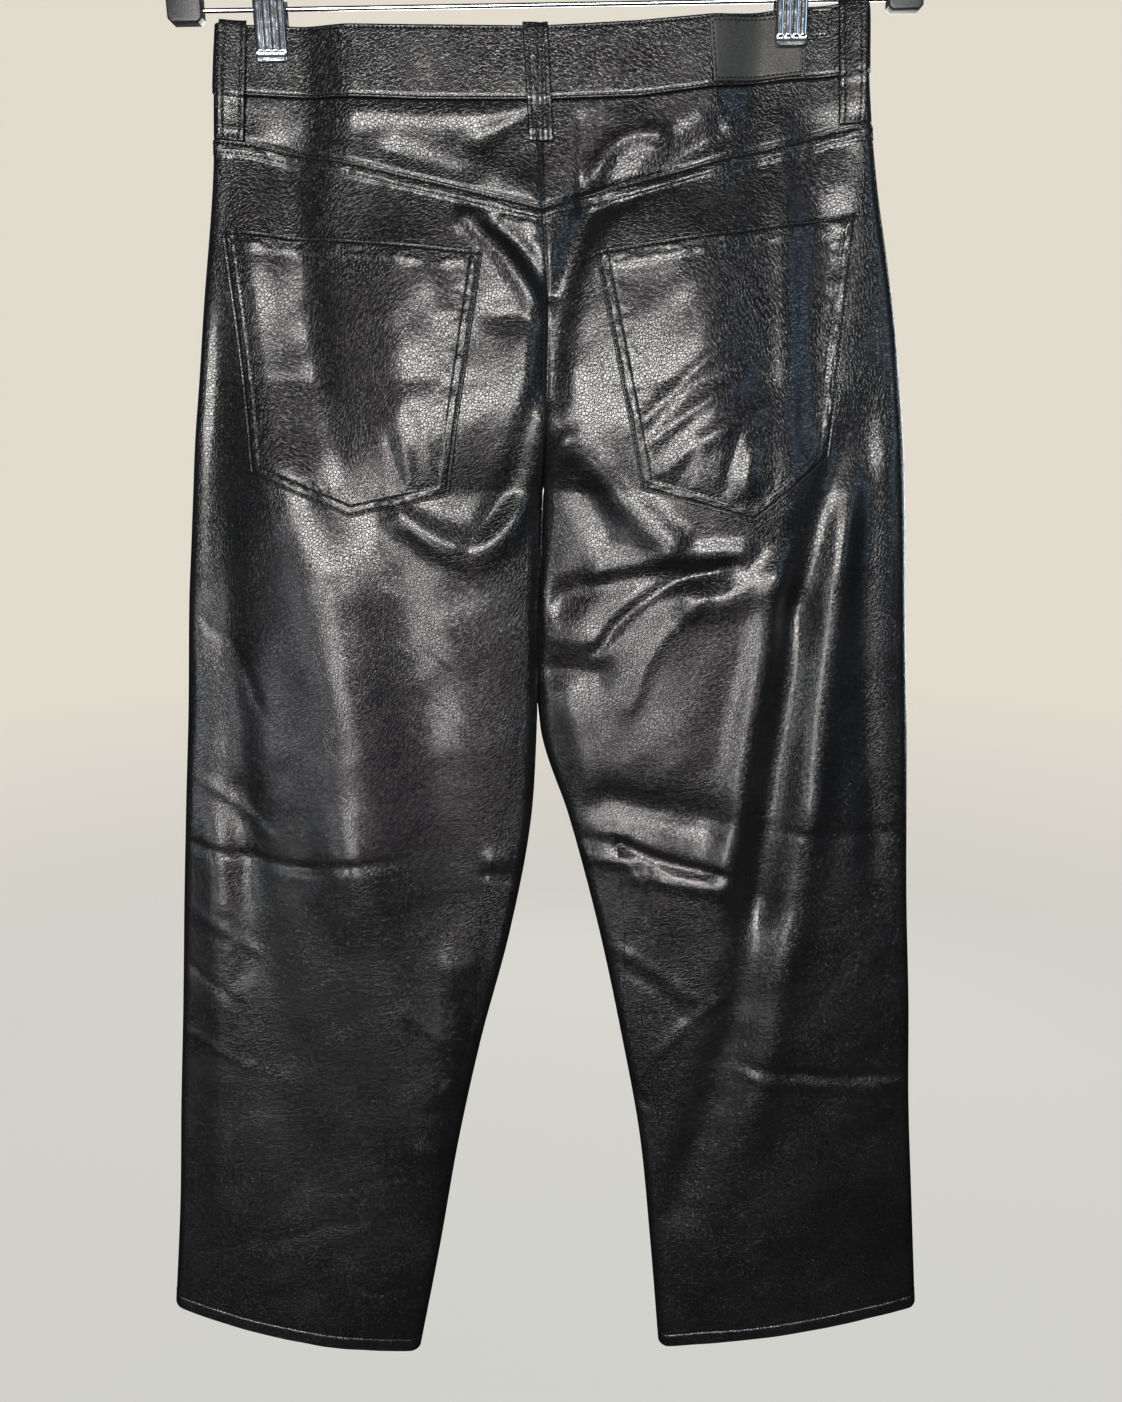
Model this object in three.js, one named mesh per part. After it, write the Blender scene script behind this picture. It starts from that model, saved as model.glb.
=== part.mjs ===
// Straight faux leather trousers, seen from the wearer's back, hanging from a trouser hanger whose two
// clips grip the waistband. Millimetres, +Z up, +X to the wearer's right; the wearer's back faces -Y and
// the fly faces +Y. The origin is the point where the hook bears on its rail.
// Heights on the cloth are given as s, the drop below the waist level.
import * as THREE from 'three';

const { abs, acos, cos, exp, hypot, max, min, PI, sin, sqrt } = Math;

// Driving sizes of the cloth
const WAIST_DROP = 150;
const WALL = 1.5;
const SEAM_GAP = 0.3;
const BAND_PROUD = 0.8;
const LAID_CLEARANCE = 1.2;
const LAID_THICK = 1.3;
const FOLD_RADIUS = 7;

// The rise curves under the body between these two levels, and the legs part at the second
const RISE_TURN = 200;
const CROTCH = 265;
const HEM = 895;
const HEM_TILT = { left: 0.233, right: 0.197 };
const BELLY = 0.8;

// The waist is half this deep between the clips, flat under each clip, and eases into the body below
const WAIST_HALF_DEPTH = 11;
const GRIP_FLAT = 15;
const GRIP_REACH = 48;
const GRIP_BOTTOM = 26;
const GRIP_FADE = 110;

// Level sections. out* is the outer fold's distance from the centre line, in* the x of the centre seam
// or of the leg's inner fold, near* and far half the depth towards the back and the front.
const SECTIONS = [
  { s: -12, outL: 186.8, outR: 187.6, inL: 0, inR: 0, nearL: 11, nearR: 11, far: 11 },
  { s: 0, outL: 187.6, outR: 188.8, inL: 0, inR: 0, nearL: 11, nearR: 11, far: 11 },
  { s: 36, outL: 191.7, outR: 192.0, inL: -0.5, inR: -0.5, nearL: 13, nearR: 13, far: 13 },
  { s: 84, outL: 196.2, outR: 199.8, inL: 0, inR: 0, nearL: 17, nearR: 17, far: 17 },
  { s: 151, outL: 207.3, outR: 214.8, inL: 3.5, inR: 3.5, nearL: 23, nearR: 23, far: 24 },
  { s: 198, outL: 214.5, outR: 223.1, inL: 3, inR: 3, nearL: 27, nearR: 27, far: 25 },
  { s: 234, outL: 220.3, outR: 228.7, inL: 2, inR: 2, nearL: 28, nearR: 28, far: 25 },
  { s: 270, outL: 224.9, outR: 232.7, inL: -0.3, inR: 0.1, nearL: 28, nearR: 27, far: 25 },
  { s: 300, outL: 228.7, outR: 235.4, inL: -1.5, inR: -0.3, nearL: 28, nearR: 27, far: 24 },
  { s: 336, outL: 233.3, outR: 238.5, inL: -3.2, inR: -1.0, nearL: 27, nearR: 26, far: 23 },
  { s: 415, outL: 241.1, outR: 245.8, inL: -5.0, inR: -1.7, nearL: 25, nearR: 24, far: 22 },
  { s: 476, outL: 248.1, outR: 250.9, inL: -10, inR: 17.3, nearL: 23, nearR: 23, far: 21 },
  { s: 552, outL: 256.4, outR: 257.3, inL: -25.5, inR: 38, nearL: 22, nearR: 22, far: 20 },
  { s: 631, outL: 264.4, outR: 265.4, inL: -47, inR: 55.3, nearL: 21, nearR: 20, far: 19 },
  { s: 715, outL: 273.6, outR: 272.5, inL: -66.3, inR: 71, nearL: 20, nearR: 18, far: 18 },
  { s: 804, outL: 282.6, outR: 282.4, inL: -83, inR: 81, nearL: 20, nearR: 17, far: 18 },
  { s: 895, outL: 294.2, outR: 292.6, inL: -101.5, inR: 89.7, nearL: 20, nearR: 16, far: 18 },
];

// The legs' inner edges: lean* is how far the inner fold is pushed along y, where the left leg hangs in
// front of the right one, and wrap* how far inside the edge the inseam shows on the back
const INNER_EDGES = [
  { s: 200, leanL: 0, leanR: 0, wrapL: 0, wrapR: 0 },
  { s: 262, leanL: 0, leanR: 0, wrapL: 0, wrapR: 0 },
  { s: 270, leanL: 0, leanR: 1, wrapL: 0, wrapR: 9 },
  { s: 300, leanL: -2, leanR: 3, wrapL: 2, wrapR: 30 },
  { s: 336, leanL: -3, leanR: 6, wrapL: 6, wrapR: 36 },
  { s: 415, leanL: -4, leanR: 9, wrapL: 17, wrapR: 40 },
  { s: 476, leanL: -4, leanR: 7, wrapL: 24, wrapR: 34 },
  { s: 552, leanL: -2, leanR: 3, wrapL: 25, wrapR: 22 },
  { s: 631, leanL: 0, leanR: 0, wrapL: 9, wrapR: 5 },
  { s: 715, leanL: 0, leanR: 0, wrapL: 0, wrapR: 0 },
  { s: 895, leanL: 0, leanR: 0, wrapL: 0, wrapR: 0 },
];

// Levels of the waistband's top edge, of the seam under it and of the pointed yoke seam, along x
const SEAMS = [
  { x: -190, top: 2.0, band: 38.4, yoke: 63.0 },
  { x: -172, top: 2.6, band: 39.4, yoke: 64.0 },
  { x: -119, top: 4.6, band: 42.0, yoke: 74.4 },
  { x: -68, top: 5.2, band: 43.8, yoke: 85.6 },
  { x: 0, top: 5.8, band: 44.0, yoke: 101.0 },
  { x: 56, top: 3.1, band: 42.2, yoke: 86.3 },
  { x: 107, top: -1.1, band: 36.0, yoke: 73.0 },
  { x: 143, top: -6.2, band: 31.0, yoke: 65.0 },
  { x: 171, top: -7.5, band: 29.9, yoke: 57.8 },
  { x: 190, top: -8.2, band: 27.5, yoke: 55.7 },
];

// A fold runs from (x0, s0) to (x1, s1), bent sideways by bow in its middle. It stands out by rise, or
// sinks where rise is below 0, over width to each side, and fades out over fade past its ends.
const BACK_FOLDS = [
  { x0: -139, s0: 85, x1: -117, s1: 265, bow: -2, width: 17, rise: -5, fade: 30 },
  { x0: -112, s0: 290, x1: -72, s1: 541, bow: 0, width: 24, rise: -5, fade: 60 },
  { x0: -163, s0: 100, x1: -160, s1: 250, bow: 0, width: 18, rise: 3, fade: 30 },
  { x0: -157, s0: 280, x1: -129, s1: 504, bow: 8, width: 26, rise: 7, fade: 50 },
  { x0: -129, s0: 530, x1: -93, s1: 741, bow: 0, width: 26, rise: 6, fade: 60 },
  { x0: -205, s0: 200, x1: -206, s1: 500, bow: 0, width: 16, rise: -4, fade: 50 },
  { x0: -200, s0: 540, x1: -178, s1: 760, bow: 0, width: 22, rise: -4, fade: 60 },
  { x0: -224, s0: 520, x1: -244, s1: 790, bow: 0, width: 13, rise: 3, fade: 40 },
  { x0: -86, s0: 282, x1: -6, s1: 268, bow: -26, width: 13, rise: 5, fade: 12 },
  { x0: -72, s0: 135, x1: -74, s1: 235, bow: 0, width: 20, rise: 4, fade: 25 },
  { x0: -62, s0: 590, x1: -80, s1: 715, bow: 0, width: 16, rise: 3, fade: 25 },
  { x0: 28, s0: 104, x1: 5, s1: 208, bow: -6, width: 10, rise: -7, fade: 12 },
  { x0: 100, s0: 62, x1: 36, s1: 98, bow: 3, width: 11, rise: -4, fade: 12 },
  { x0: 92, s0: 125, x1: 108, s1: 255, bow: 0, width: 30, rise: 5, fade: 25 },
  { x0: 166, s0: 110, x1: 170, s1: 225, bow: 0, width: 15, rise: -3, fade: 25 },
  { x0: 184, s0: 250, x1: 164, s1: 333, bow: 0, width: 13, rise: -7, fade: 25 },
  { x0: 163, s0: 350, x1: 149, s1: 541, bow: 0, width: 14, rise: -9, fade: 25 },
  { x0: 147, s0: 560, x1: 108, s1: 770, bow: 4, width: 16, rise: -6, fade: 40 },
  { x0: 188, s0: 290, x1: 180, s1: 468, bow: 0, width: 12, rise: 5, fade: 30 },
  { x0: 178, s0: 490, x1: 156, s1: 699, bow: 0, width: 15, rise: 4, fade: 50 },
  { x0: 203, s0: 240, x1: 227, s1: 504, bow: -4, width: 10, rise: -3, fade: 30 },
  { x0: 149, s0: 330, x1: 124, s1: 520, bow: 0, width: 12, rise: 6, fade: 20 },
  { x0: 95, s0: 334, x1: 146, s1: 318, bow: -4, width: 13, rise: 4, fade: 12 },
  { x0: 16, s0: 238, x1: 80, s1: 298, bow: 0, width: 12, rise: 5, fade: 10 },
  { x0: 14, s0: 334, x1: 108, s1: 318, bow: 9, width: 11, rise: -4, fade: 12 },
  { x0: 44, s0: 474, x1: 116, s1: 486, bow: 0, width: 14, rise: -4, fade: 14 },
];

// The same kinds of folds on the front, which hangs from the same clips
const FRONT_FOLDS = [
  { x0: -130, s0: 90, x1: -112, s1: 250, bow: 3, width: 18, rise: -5, fade: 30 },
  { x0: 126, s0: 84, x1: 106, s1: 262, bow: -3, width: 18, rise: -5, fade: 30 },
  { x0: -12, s0: 214, x1: -76, s1: 188, bow: 4, width: 13, rise: 4, fade: 14 },
  { x0: 14, s0: 216, x1: 82, s1: 194, bow: -4, width: 13, rise: 4, fade: 14 },
  { x0: -20, s0: 262, x1: -92, s1: 252, bow: 6, width: 14, rise: 4, fade: 16 },
  { x0: 22, s0: 258, x1: 96, s1: 240, bow: -5, width: 14, rise: 4, fade: 16 },
  { x0: -140, s0: 290, x1: -120, s1: 520, bow: 6, width: 24, rise: 6, fade: 60 },
  { x0: -126, s0: 560, x1: -152, s1: 770, bow: 0, width: 26, rise: 5, fade: 60 },
  { x0: 134, s0: 300, x1: 146, s1: 540, bow: -5, width: 22, rise: 6, fade: 60 },
  { x0: 140, s0: 580, x1: 170, s1: 790, bow: 0, width: 24, rise: 5, fade: 60 },
  { x0: -186, s0: 320, x1: -200, s1: 600, bow: 0, width: 18, rise: -5, fade: 60 },
  { x0: 192, s0: 330, x1: 204, s1: 620, bow: 0, width: 18, rise: -5, fade: 60 },
];
const FOLD_EDGE = 16;
const FOLD_TOP = { start: 34, end: 74 };

// The grid of every panel: columns across each rounded fold and each face, rows down to the hem
const ROUND_SHARE = 0.05;
const FACE_COLUMNS = 13;
const TOP_ROWS = 4;
const STATIONS = [
  RISE_TURN, 219, 236, 252, CROTCH, 282, 301, 324, 352, 383, 415, 447, 480, 516, 556, 600, 646, 694,
  744, 796, 848, HEM,
];
const BAND_ROWS = 2;

// Patch pockets: five corners, top outer, top inner, bottom inner, point, bottom outer
const POCKET_CORNERS = {
  left: [[-191, 112], [-34.5, 126], [-58, 268], [-120, 281], [-180, 254]],
  right: [[188, 103], [31.5, 126], [61.5, 264.5], [131.5, 283.5], [178.5, 245]],
};
const POCKET_GRID = { across: 12, down: 8 };

// Belt loops: centre line at the top and at the foot, on the back or on the front
const LOOP_WIDTH = 14.4;
const LOOP_TOP_PROUD = 1.2;
const LOOP_THICK = 1.5;
const LOOP_SEWN = 0.7;
const LOOP_GRID = { across: 3, down: 6 };
const BELT_LOOPS = [
  { name: 'belt_loop_side_left', face: 'back', xTop: -176, xFoot: -182, foot: 64 },
  { name: 'belt_loop_centre', face: 'back', xTop: -3.2, xFoot: 0.2, foot: 66 },
  { name: 'belt_loop_side_right', face: 'back', xTop: 176.5, xFoot: 181, foot: 56 },
  { name: 'belt_loop_front_left', face: 'front', xTop: -98, xFoot: -101, foot: 64 },
  { name: 'belt_loop_front_right', face: 'front', xTop: 92, xFoot: 95, foot: 60 },
];

// Pieces laid on the band: top left, top right, bottom right and bottom left corners
const WAIST_PATCH = [[95.6, 2.2], [152, -4.2], [153.4, 28.3], [99.5, 34.6]];
const WAIST_TAB = [[154, -5.6], [166.7, -5.8], [166.7, 9.6], [154, 10.4]];
const PATCH_THICK = 1.0;
const PATCH_GRID = { across: 5, down: 2 };
const TAB_THICK = 0.9;
const TAB_GRID = { across: 2, down: 1 };
const FLY = { inner: 1.5, outer: 34, foot: 178, turn: 120, point: 4, thick: 1.2 };
const FLY_GRID = { across: 3, down: 9 };
const BUTTON = { x: 13, s: 24, radius: 8.5, neckRadius: 3.2, head: 3.2, neck: 2.4 };

// Hanger: a steel hook, moulded shoulders with an end block each, a wire bar and two clips
const HANGER_TILT = 0.0155;
const HOOK = { innerRadius: 19, wire: 1.75, opening: 205, steps: 26 };
const NECK = { top: -52, foot: -84, halfWidth: 11, stem: 6 };
const SHOULDER = { reach: 207, drop: 108, height: 13, halfDepth: 4.5 };
const END_BLOCK = { halfWidth: 10, foot: 148.5, corner: 2.4 };
const BAR = { radius: 1.25, drop: 141.6, halfLength: 196.6 };
const CLIPS = [
  { name: 'left', x: -156, hold: 3.0, nearFace: 4.15, farFace: 4.15, foot: 22.8 },
  { name: 'right', x: 143.6, hold: 2.0, nearFace: 5.35, farFace: 3.15, foot: 15.0 },
];
const JAW = { halfWidth: 9, thick: 1.2, ribWidth: 2.4, ribGroove: 2.2, ribProud: 0.8, above: 5.5 };
const SLEEVE = { inner: 1.55, halfWidth: 7, sides: 12 };

const MATERIALS = {
  leather: new THREE.MeshStandardMaterial({ color: 0x17181a, roughness: 0.42, metalness: 0 }),
  patch: new THREE.MeshStandardMaterial({ color: 0x2b2a2a, roughness: 0.6, metalness: 0 }),
  chrome: new THREE.MeshStandardMaterial({ color: 0xd8dade, roughness: 0.12, metalness: 1 }),
  plastic: new THREE.MeshStandardMaterial({ color: 0x101012, roughness: 0.5, metalness: 0 }),
};

const clamp01 = (t) => min(1, max(0, t));
const smooth = (t) => clamp01(t) ** 2 * (3 - 2 * clamp01(t));
const mix = (a, b, t) => a + (b - a) * t;

// Value of one column of a table at a level: smooth through the rows, or straight between them
function tableValue(rows, key, column, at, straight = false) {
  let i = 0;
  while (i < rows.length - 2 && rows[i + 1][key] < at) i += 1;
  const [a, b] = [rows[i], rows[i + 1]];
  const span = b[key] - a[key];
  const t = (at - a[key]) / span;
  if (straight || t < 0 || t > 1) return mix(a[column], b[column], t);
  const before = rows[i - 1] ?? a;
  const after = rows[i + 2] ?? b;
  const slopeA = ((b[column] - before[column]) / (b[key] - before[key])) * span;
  const slopeB = ((after[column] - a[column]) / (after[key] - a[key])) * span;
  const rest = 1 - t;
  return (1 + 2 * t) * rest * rest * a[column] + t * rest * rest * slopeA
    + t * t * (3 - 2 * t) * b[column] - t * t * rest * slopeB;
}

const seamAt = (column, x) => tableValue(SEAMS, 'x', column, x, true);

// Sizes of one side's level section
function sectionAt(side, s) {
  const letter = side < 0 ? 'L' : 'R';
  const column = (name) => tableValue(SECTIONS, 's', name, s);
  const edge = (name) => tableValue(INNER_EDGES, 's', `${name}${letter}`, max(s, RISE_TURN));
  const out = column(`out${letter}`);
  const inner = side * column(`in${letter}`) + SEAM_GAP / 2;
  const tiltRamp = clamp01((s - CROTCH) / (HEM - CROTCH));
  return {
    out,
    inner,
    width: out - inner,
    near: column(`near${letter}`),
    far: column('far'),
    lean: edge('lean'),
    wrap: s > CROTCH ? max(0, edge('wrap')) : 0,
    tilt: (side < 0 ? HEM_TILT.left : HEM_TILT.right) * tiltRamp,
    parted: clamp01((s - RISE_TURN) / (CROTCH - RISE_TURN)),
  };
}

// Half depth of the gripped waist: full between the clips, thin and flat under each of them
function waistDepth(x) {
  const grips = CLIPS.map(({ x: centre, hold }) => {
    const grip = smooth((GRIP_REACH - abs(x - centre)) / (GRIP_REACH - GRIP_FLAT));
    return mix(WAIST_HALF_DEPTH, hold, grip);
  });
  return min(...grips);
}

function foldRise(folds, x, s) {
  return folds.reduce((sum, { x0, s0, x1, s1, bow, width, rise, fade }) => {
    const length = hypot(x1 - x0, s1 - s0);
    const [ux, us] = [(x1 - x0) / length, (s1 - s0) / length];
    const along = (x - x0) * ux + (s - s0) * us;
    const t = clamp01(along / length);
    const past = max(-along, along - length, 0);
    const across = (x - x0) * us - (s - s0) * ux - 4 * bow * t * (1 - t);
    return sum + rise * exp(-((across / width) ** 2) - (past / fade) ** 2);
  }, 0);
}

// A point of the cloth. w runs from 0 at the outer fold over the back to 1 at the inner end, and on over
// the front to 2; inset is the depth below the outer face, or below 0 for what lies on the cloth.
function clothPoint(side, w, station, inset = 0) {
  const back = w <= 1;
  const v = back ? w : 2 - w;
  const section = sectionAt(side, station);
  const outerTurn = clamp01(v / ROUND_SHARE) * (PI / 2);
  const innerTurn = clamp01((1 - v) / ROUND_SHARE) * (PI / 2);
  const innerInset = inset * section.parted;
  const face = clamp01((v - ROUND_SHARE) / (1 - 2 * ROUND_SHARE));
  let fromOuter = mix(FOLD_RADIUS, section.width - FOLD_RADIUS, face);
  if (v < ROUND_SHARE) fromOuter = inset + (FOLD_RADIUS - inset) * (1 - cos(outerTurn));
  if (v > 1 - ROUND_SHARE) {
    fromOuter = section.width - innerInset - (FOLD_RADIUS - innerInset) * (1 - cos(innerTurn));
  }
  const x = side * (section.out - fromOuter);
  const s = station + section.tilt * fromOuter;
  const open = sqrt(1 - section.parted ** 2);
  const edgeRise = sin(outerTurn) * (open + (1 - open) * sin(innerTurn));
  const across = fromOuter / section.width;
  const crown = max(0, sin((PI / 2) * (1 + section.parted) * clamp01(across))) ** BELLY;
  const depth = mix(FOLD_RADIUS, back ? section.near : section.far, crown);
  const released = smooth((station - GRIP_BOTTOM) / GRIP_FADE);
  const bodyDepth = mix(waistDepth(x), depth, released) - inset;
  const sideFade = smooth(fromOuter / FOLD_EDGE);
  const innerFade = mix(1, smooth((section.width - fromOuter) / FOLD_EDGE), section.parted);
  const topFade = smooth((s - FOLD_TOP.start) / (FOLD_TOP.end - FOLD_TOP.start));
  const folds = foldRise(back ? BACK_FOLDS : FRONT_FOLDS, x, s) * sideFade * innerFade * topFade;
  const outward = bodyDepth * edgeRise + folds;
  const y = section.lean * across ** 2 + (back ? -outward : outward);
  return new THREE.Vector3(x, y, -(WAIST_DROP + s));
}

// Column and station of the cloth that lie under a point given as x and s
function clothPlace(side, x, s, onFront = false) {
  let station = s;
  let v = 0;
  for (let pass = 0; pass < 4; pass += 1) {
    const { out, width, tilt } = sectionAt(side, station);
    const fromOuter = min(width, max(0, out - side * x));
    station = s - tilt * fromOuter;
    const face = (fromOuter - FOLD_RADIUS) / (width - 2 * FOLD_RADIUS);
    v = mix(ROUND_SHARE, 1 - ROUND_SHARE, face);
    if (face < 0) v = (ROUND_SHARE * acos(1 - fromOuter / FOLD_RADIUS)) / (PI / 2);
    if (face > 1) v = 1 - (ROUND_SHARE * acos(1 - (width - fromOuter) / FOLD_RADIUS)) / (PI / 2);
  }
  return { w: onFront ? 2 - v : v, station };
}

function pointOver(x, s, lift, onFront = false) {
  const side = x < tableValue(SECTIONS, 's', 'inL', min(s, CROTCH)) ? -1 : 1;
  const { w, station } = clothPlace(side, x, s, onFront);
  return clothPoint(side, w, station, -lift);
}

// Station at which a column of the cloth meets a seam
function stationOfSeam(side, w, column) {
  let station = seamAt(column, side * 100);
  for (let pass = 0; pass < 4; pass += 1) {
    station = seamAt(column, clothPoint(side, w, station).x);
  }
  return station;
}

function meshOf(name, geometry, material) {
  const mesh = new THREE.Mesh(geometry, material);
  mesh.name = name;
  return mesh;
}

// A closed wall between two grids of points of the same size
function wallGeometry(outer, inner) {
  const [rows, columns] = [outer.length, outer[0].length];
  const size = rows * columns;
  const positions = [...outer.flat(), ...inner.flat()].flatMap((p) => [p.x, p.y, p.z]);
  const index = [];
  const quad = (a, b, c, d) => index.push(a, b, c, a, c, d);
  for (let j = 0; j < rows - 1; j += 1) {
    for (let i = 0; i < columns - 1; i += 1) {
      const a = j * columns + i;
      quad(a, a + 1, a + columns + 1, a + columns);
      quad(size + a, size + a + columns, size + a + columns + 1, size + a + 1);
    }
  }
  const rim = [];
  for (let i = 0; i < columns - 1; i += 1) rim.push(i);
  for (let j = 0; j < rows - 1; j += 1) rim.push(j * columns + columns - 1);
  for (let i = columns - 1; i > 0; i -= 1) rim.push((rows - 1) * columns + i);
  for (let j = rows - 1; j > 0; j -= 1) rim.push(j * columns);
  rim.forEach((a, k) => {
    const b = rim[(k + 1) % rim.length];
    quad(a, a + size, b + size, b);
  });
  const geometry = new THREE.BufferGeometry();
  geometry.setAttribute('position', new THREE.Float32BufferAttribute(positions, 3));
  geometry.setIndex(signedVolume(positions, index) < 0 ? index.reverse() : index);
  geometry.computeVertexNormals();
  return geometry;
}

function signedVolume(positions, index) {
  const corner = (k) => new THREE.Vector3().fromArray(positions, 3 * k);
  let sum = 0;
  for (let k = 0; k < index.length; k += 3) {
    sum += corner(index[k]).dot(corner(index[k + 1]).cross(corner(index[k + 2])));
  }
  return sum;
}

// Shares of the way across a panel, close together in the two rounded folds
function columnShares() {
  const shares = [0, 0.5 * ROUND_SHARE, ROUND_SHARE];
  for (let i = 1; i < FACE_COLUMNS; i += 1) {
    shares.push(mix(ROUND_SHARE, 1 - ROUND_SHARE, i / FACE_COLUMNS));
  }
  return [...shares, 1 - ROUND_SHARE, 1 - 0.5 * ROUND_SHARE, 1];
}

// First and last w of the back or front of a panel at a station, clear of the side seam and inseam. Above
// the crotch w ends a hair from 1, on its own side of it, because the front and back lie apart there.
function panelReach(side, face, station) {
  const { width, wrap } = sectionAt(side, station);
  const sideGap = (SEAM_GAP / 2 / FOLD_RADIUS / (PI / 2)) * ROUND_SHARE * 1.2;
  const inseam = 1 - wrap / width;
  const inseamGap = station < CROTCH ? 1e-5 : SEAM_GAP / width;
  return face === 'back' ? [sideGap, inseam - inseamGap] : [2 - sideGap, inseam + inseamGap];
}

// Grid of a trouser panel from one of its upper seams down to the hem
function panelGrid(side, face, topSeam, inset) {
  const shares = columnShares();
  const column = (share, station) => mix(...panelReach(side, face, station), share);
  const topStations = shares.map((share) => {
    const start = stationOfSeam(side, column(share, 0), topSeam) + SEAM_GAP / 2;
    return Array.from({ length: TOP_ROWS }, (_, j) => mix(start, RISE_TURN, j / TOP_ROWS));
  });
  const rows = Array.from({ length: TOP_ROWS }, (_, j) => topStations.map((stations) => stations[j]));
  STATIONS.forEach((station) => rows.push(shares.map(() => station)));
  return rows.map((stations) => stations.map((station, i) => (
    clothPoint(side, column(shares[i], station), station, inset)
  )));
}

// Grid of a short piece between two seams, over one half of the back or front
function bandGrid(side, face, fromSeam, toSeam, inset, gaps) {
  const shares = columnShares();
  return Array.from({ length: BAND_ROWS + 1 }, (_, j) => shares.map((share) => {
    const w = mix(...panelReach(side, face, 0), share);
    const from = stationOfSeam(side, w, fromSeam) + gaps.top;
    const to = stationOfSeam(side, w, toSeam) - gaps.bottom;
    return clothPoint(side, w, mix(from, to, j / BAND_ROWS), inset);
  }));
}

function panel(name, side, face, topSeam) {
  const grids = [0, WALL].map((inset) => panelGrid(side, face, topSeam, inset));
  return meshOf(name, wallGeometry(...grids), MATERIALS.leather);
}

function yoke(name, side) {
  const gaps = { top: SEAM_GAP / 2, bottom: SEAM_GAP / 2 };
  const grids = [0, WALL].map((inset) => bandGrid(side, 'back', 'band', 'yoke', inset, gaps));
  return meshOf(name, wallGeometry(...grids), MATERIALS.leather);
}

// The waistband stands proud of the cloth below it; the back is one length over both halves
function waistband(name, face, sides) {
  const gaps = { top: 0, bottom: SEAM_GAP / 2 };
  const grids = [-BAND_PROUD, WALL].map((inset) => {
    const halves = sides.map((side) => bandGrid(side, face, 'top', 'band', inset, gaps));
    if (halves.length === 1) return halves[0];
    return halves[0].map((row, j) => [...row, ...halves[1][j].slice().reverse().slice(1)]);
  });
  return meshOf(name, wallGeometry(...grids), MATERIALS.leather);
}

// A flat piece laid over the cloth: outline gives (x, s) at shares across and down, and base its height
// over the cloth at a share down
function laidPiece(name, outline, grid, base, thick, material, onFront = false) {
  const layer = (above) => Array.from({ length: grid.down + 1 }, (_, j) => (
    Array.from({ length: grid.across + 1 }, (__, i) => {
      const [x, s] = outline(i / grid.across, j / grid.down);
      return pointOver(x, s, base(j / grid.down) + above, onFront);
    })
  ));
  return meshOf(name, wallGeometry(layer(thick), layer(0)), material);
}

const between = (a, b, t) => [mix(a[0], b[0], t), mix(a[1], b[1], t)];

function pocket(name, corners) {
  const [topOuter, topInner, lowInner, point, lowOuter] = corners;
  const outline = (u, v) => {
    const low = u < 0.5 ? between(lowOuter, point, 2 * u) : between(point, lowInner, 2 * u - 1);
    return between(between(topOuter, topInner, u), low, v);
  };
  return laidPiece(name, outline, POCKET_GRID, () => LAID_CLEARANCE, LAID_THICK, MATERIALS.leather);
}

// A four-sided piece sewn on the waistband
function onBand(name, [a, b, c, d], grid, thick, material) {
  const outline = (u, v) => between(between(a, b, u), between(d, c, u), v);
  return laidPiece(name, outline, grid, () => BAND_PROUD + LAID_CLEARANCE, thick, material);
}

// A loop stands off the band, and is sewn down at its top and its foot
function beltLoop({ name, face, xTop, xFoot, foot }) {
  const outline = (u, v) => {
    const x = mix(xTop, xFoot, v) + LOOP_WIDTH * (u - 0.5);
    return [x, mix(seamAt('top', xTop) - LOOP_TOP_PROUD, foot, v)];
  };
  const base = (v) => {
    if (v === 0) return BAND_PROUD + LOOP_SEWN;
    return v === 1 ? LOOP_SEWN : BAND_PROUD + LAID_CLEARANCE;
  };
  return laidPiece(name, outline, LOOP_GRID, base, LOOP_THICK, MATERIALS.leather, face === 'front');
}

// The fly: a flap over the front seam, its outer edge curving in to the seam at the foot
function flyFlap() {
  const outline = (u, v) => {
    const top = seamAt('band', FLY.outer / 2) + 1;
    const s = mix(top, FLY.foot, v);
    const turn = clamp01((s - FLY.turn) / (FLY.foot - FLY.turn));
    const reach = mix(FLY.inner + FLY.point, FLY.outer, sqrt(1 - turn ** 2));
    return [mix(FLY.inner, reach, u) + tableValue(SECTIONS, 's', 'inL', s), s];
  };
  return laidPiece('fly_flap', outline, FLY_GRID, () => LAID_CLEARANCE, FLY.thick, MATERIALS.leather, true);
}

function shankButton() {
  const { radius, neckRadius, head, neck } = BUTTON;
  const profile = [
    [0, 0], [neckRadius, 0], [neckRadius, neck], [radius, neck], [radius, neck + head * 0.7],
    [radius * 0.86, neck + head], [0, neck + head],
  ].map(([r, h]) => new THREE.Vector2(r, h));
  const button = meshOf('waist_button', new THREE.LatheGeometry(profile, 14), MATERIALS.chrome);
  button.position.copy(pointOver(BUTTON.x, BUTTON.s, BAND_PROUD + SEAM_GAP, true));
  return button;
}

function regularPolygon(radius, sides) {
  return Array.from({ length: sides }, (_, k) => {
    const turn = (2 * PI * (k + 0.5)) / sides;
    return new THREE.Vector2(radius * cos(turn), radius * sin(turn));
  });
}

// An outline in the plane of x and z, given thickness along y around the mid-plane
function plate(name, outline, near, far, material) {
  const shape = new THREE.Shape(outline.map(([x, z]) => new THREE.Vector2(x, z)));
  const geometry = new THREE.ExtrudeGeometry(shape, { depth: far - near, bevelEnabled: false });
  geometry.rotateX(PI / 2);
  geometry.translate(0, far, 0);
  return meshOf(name, geometry, material);
}

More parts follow.
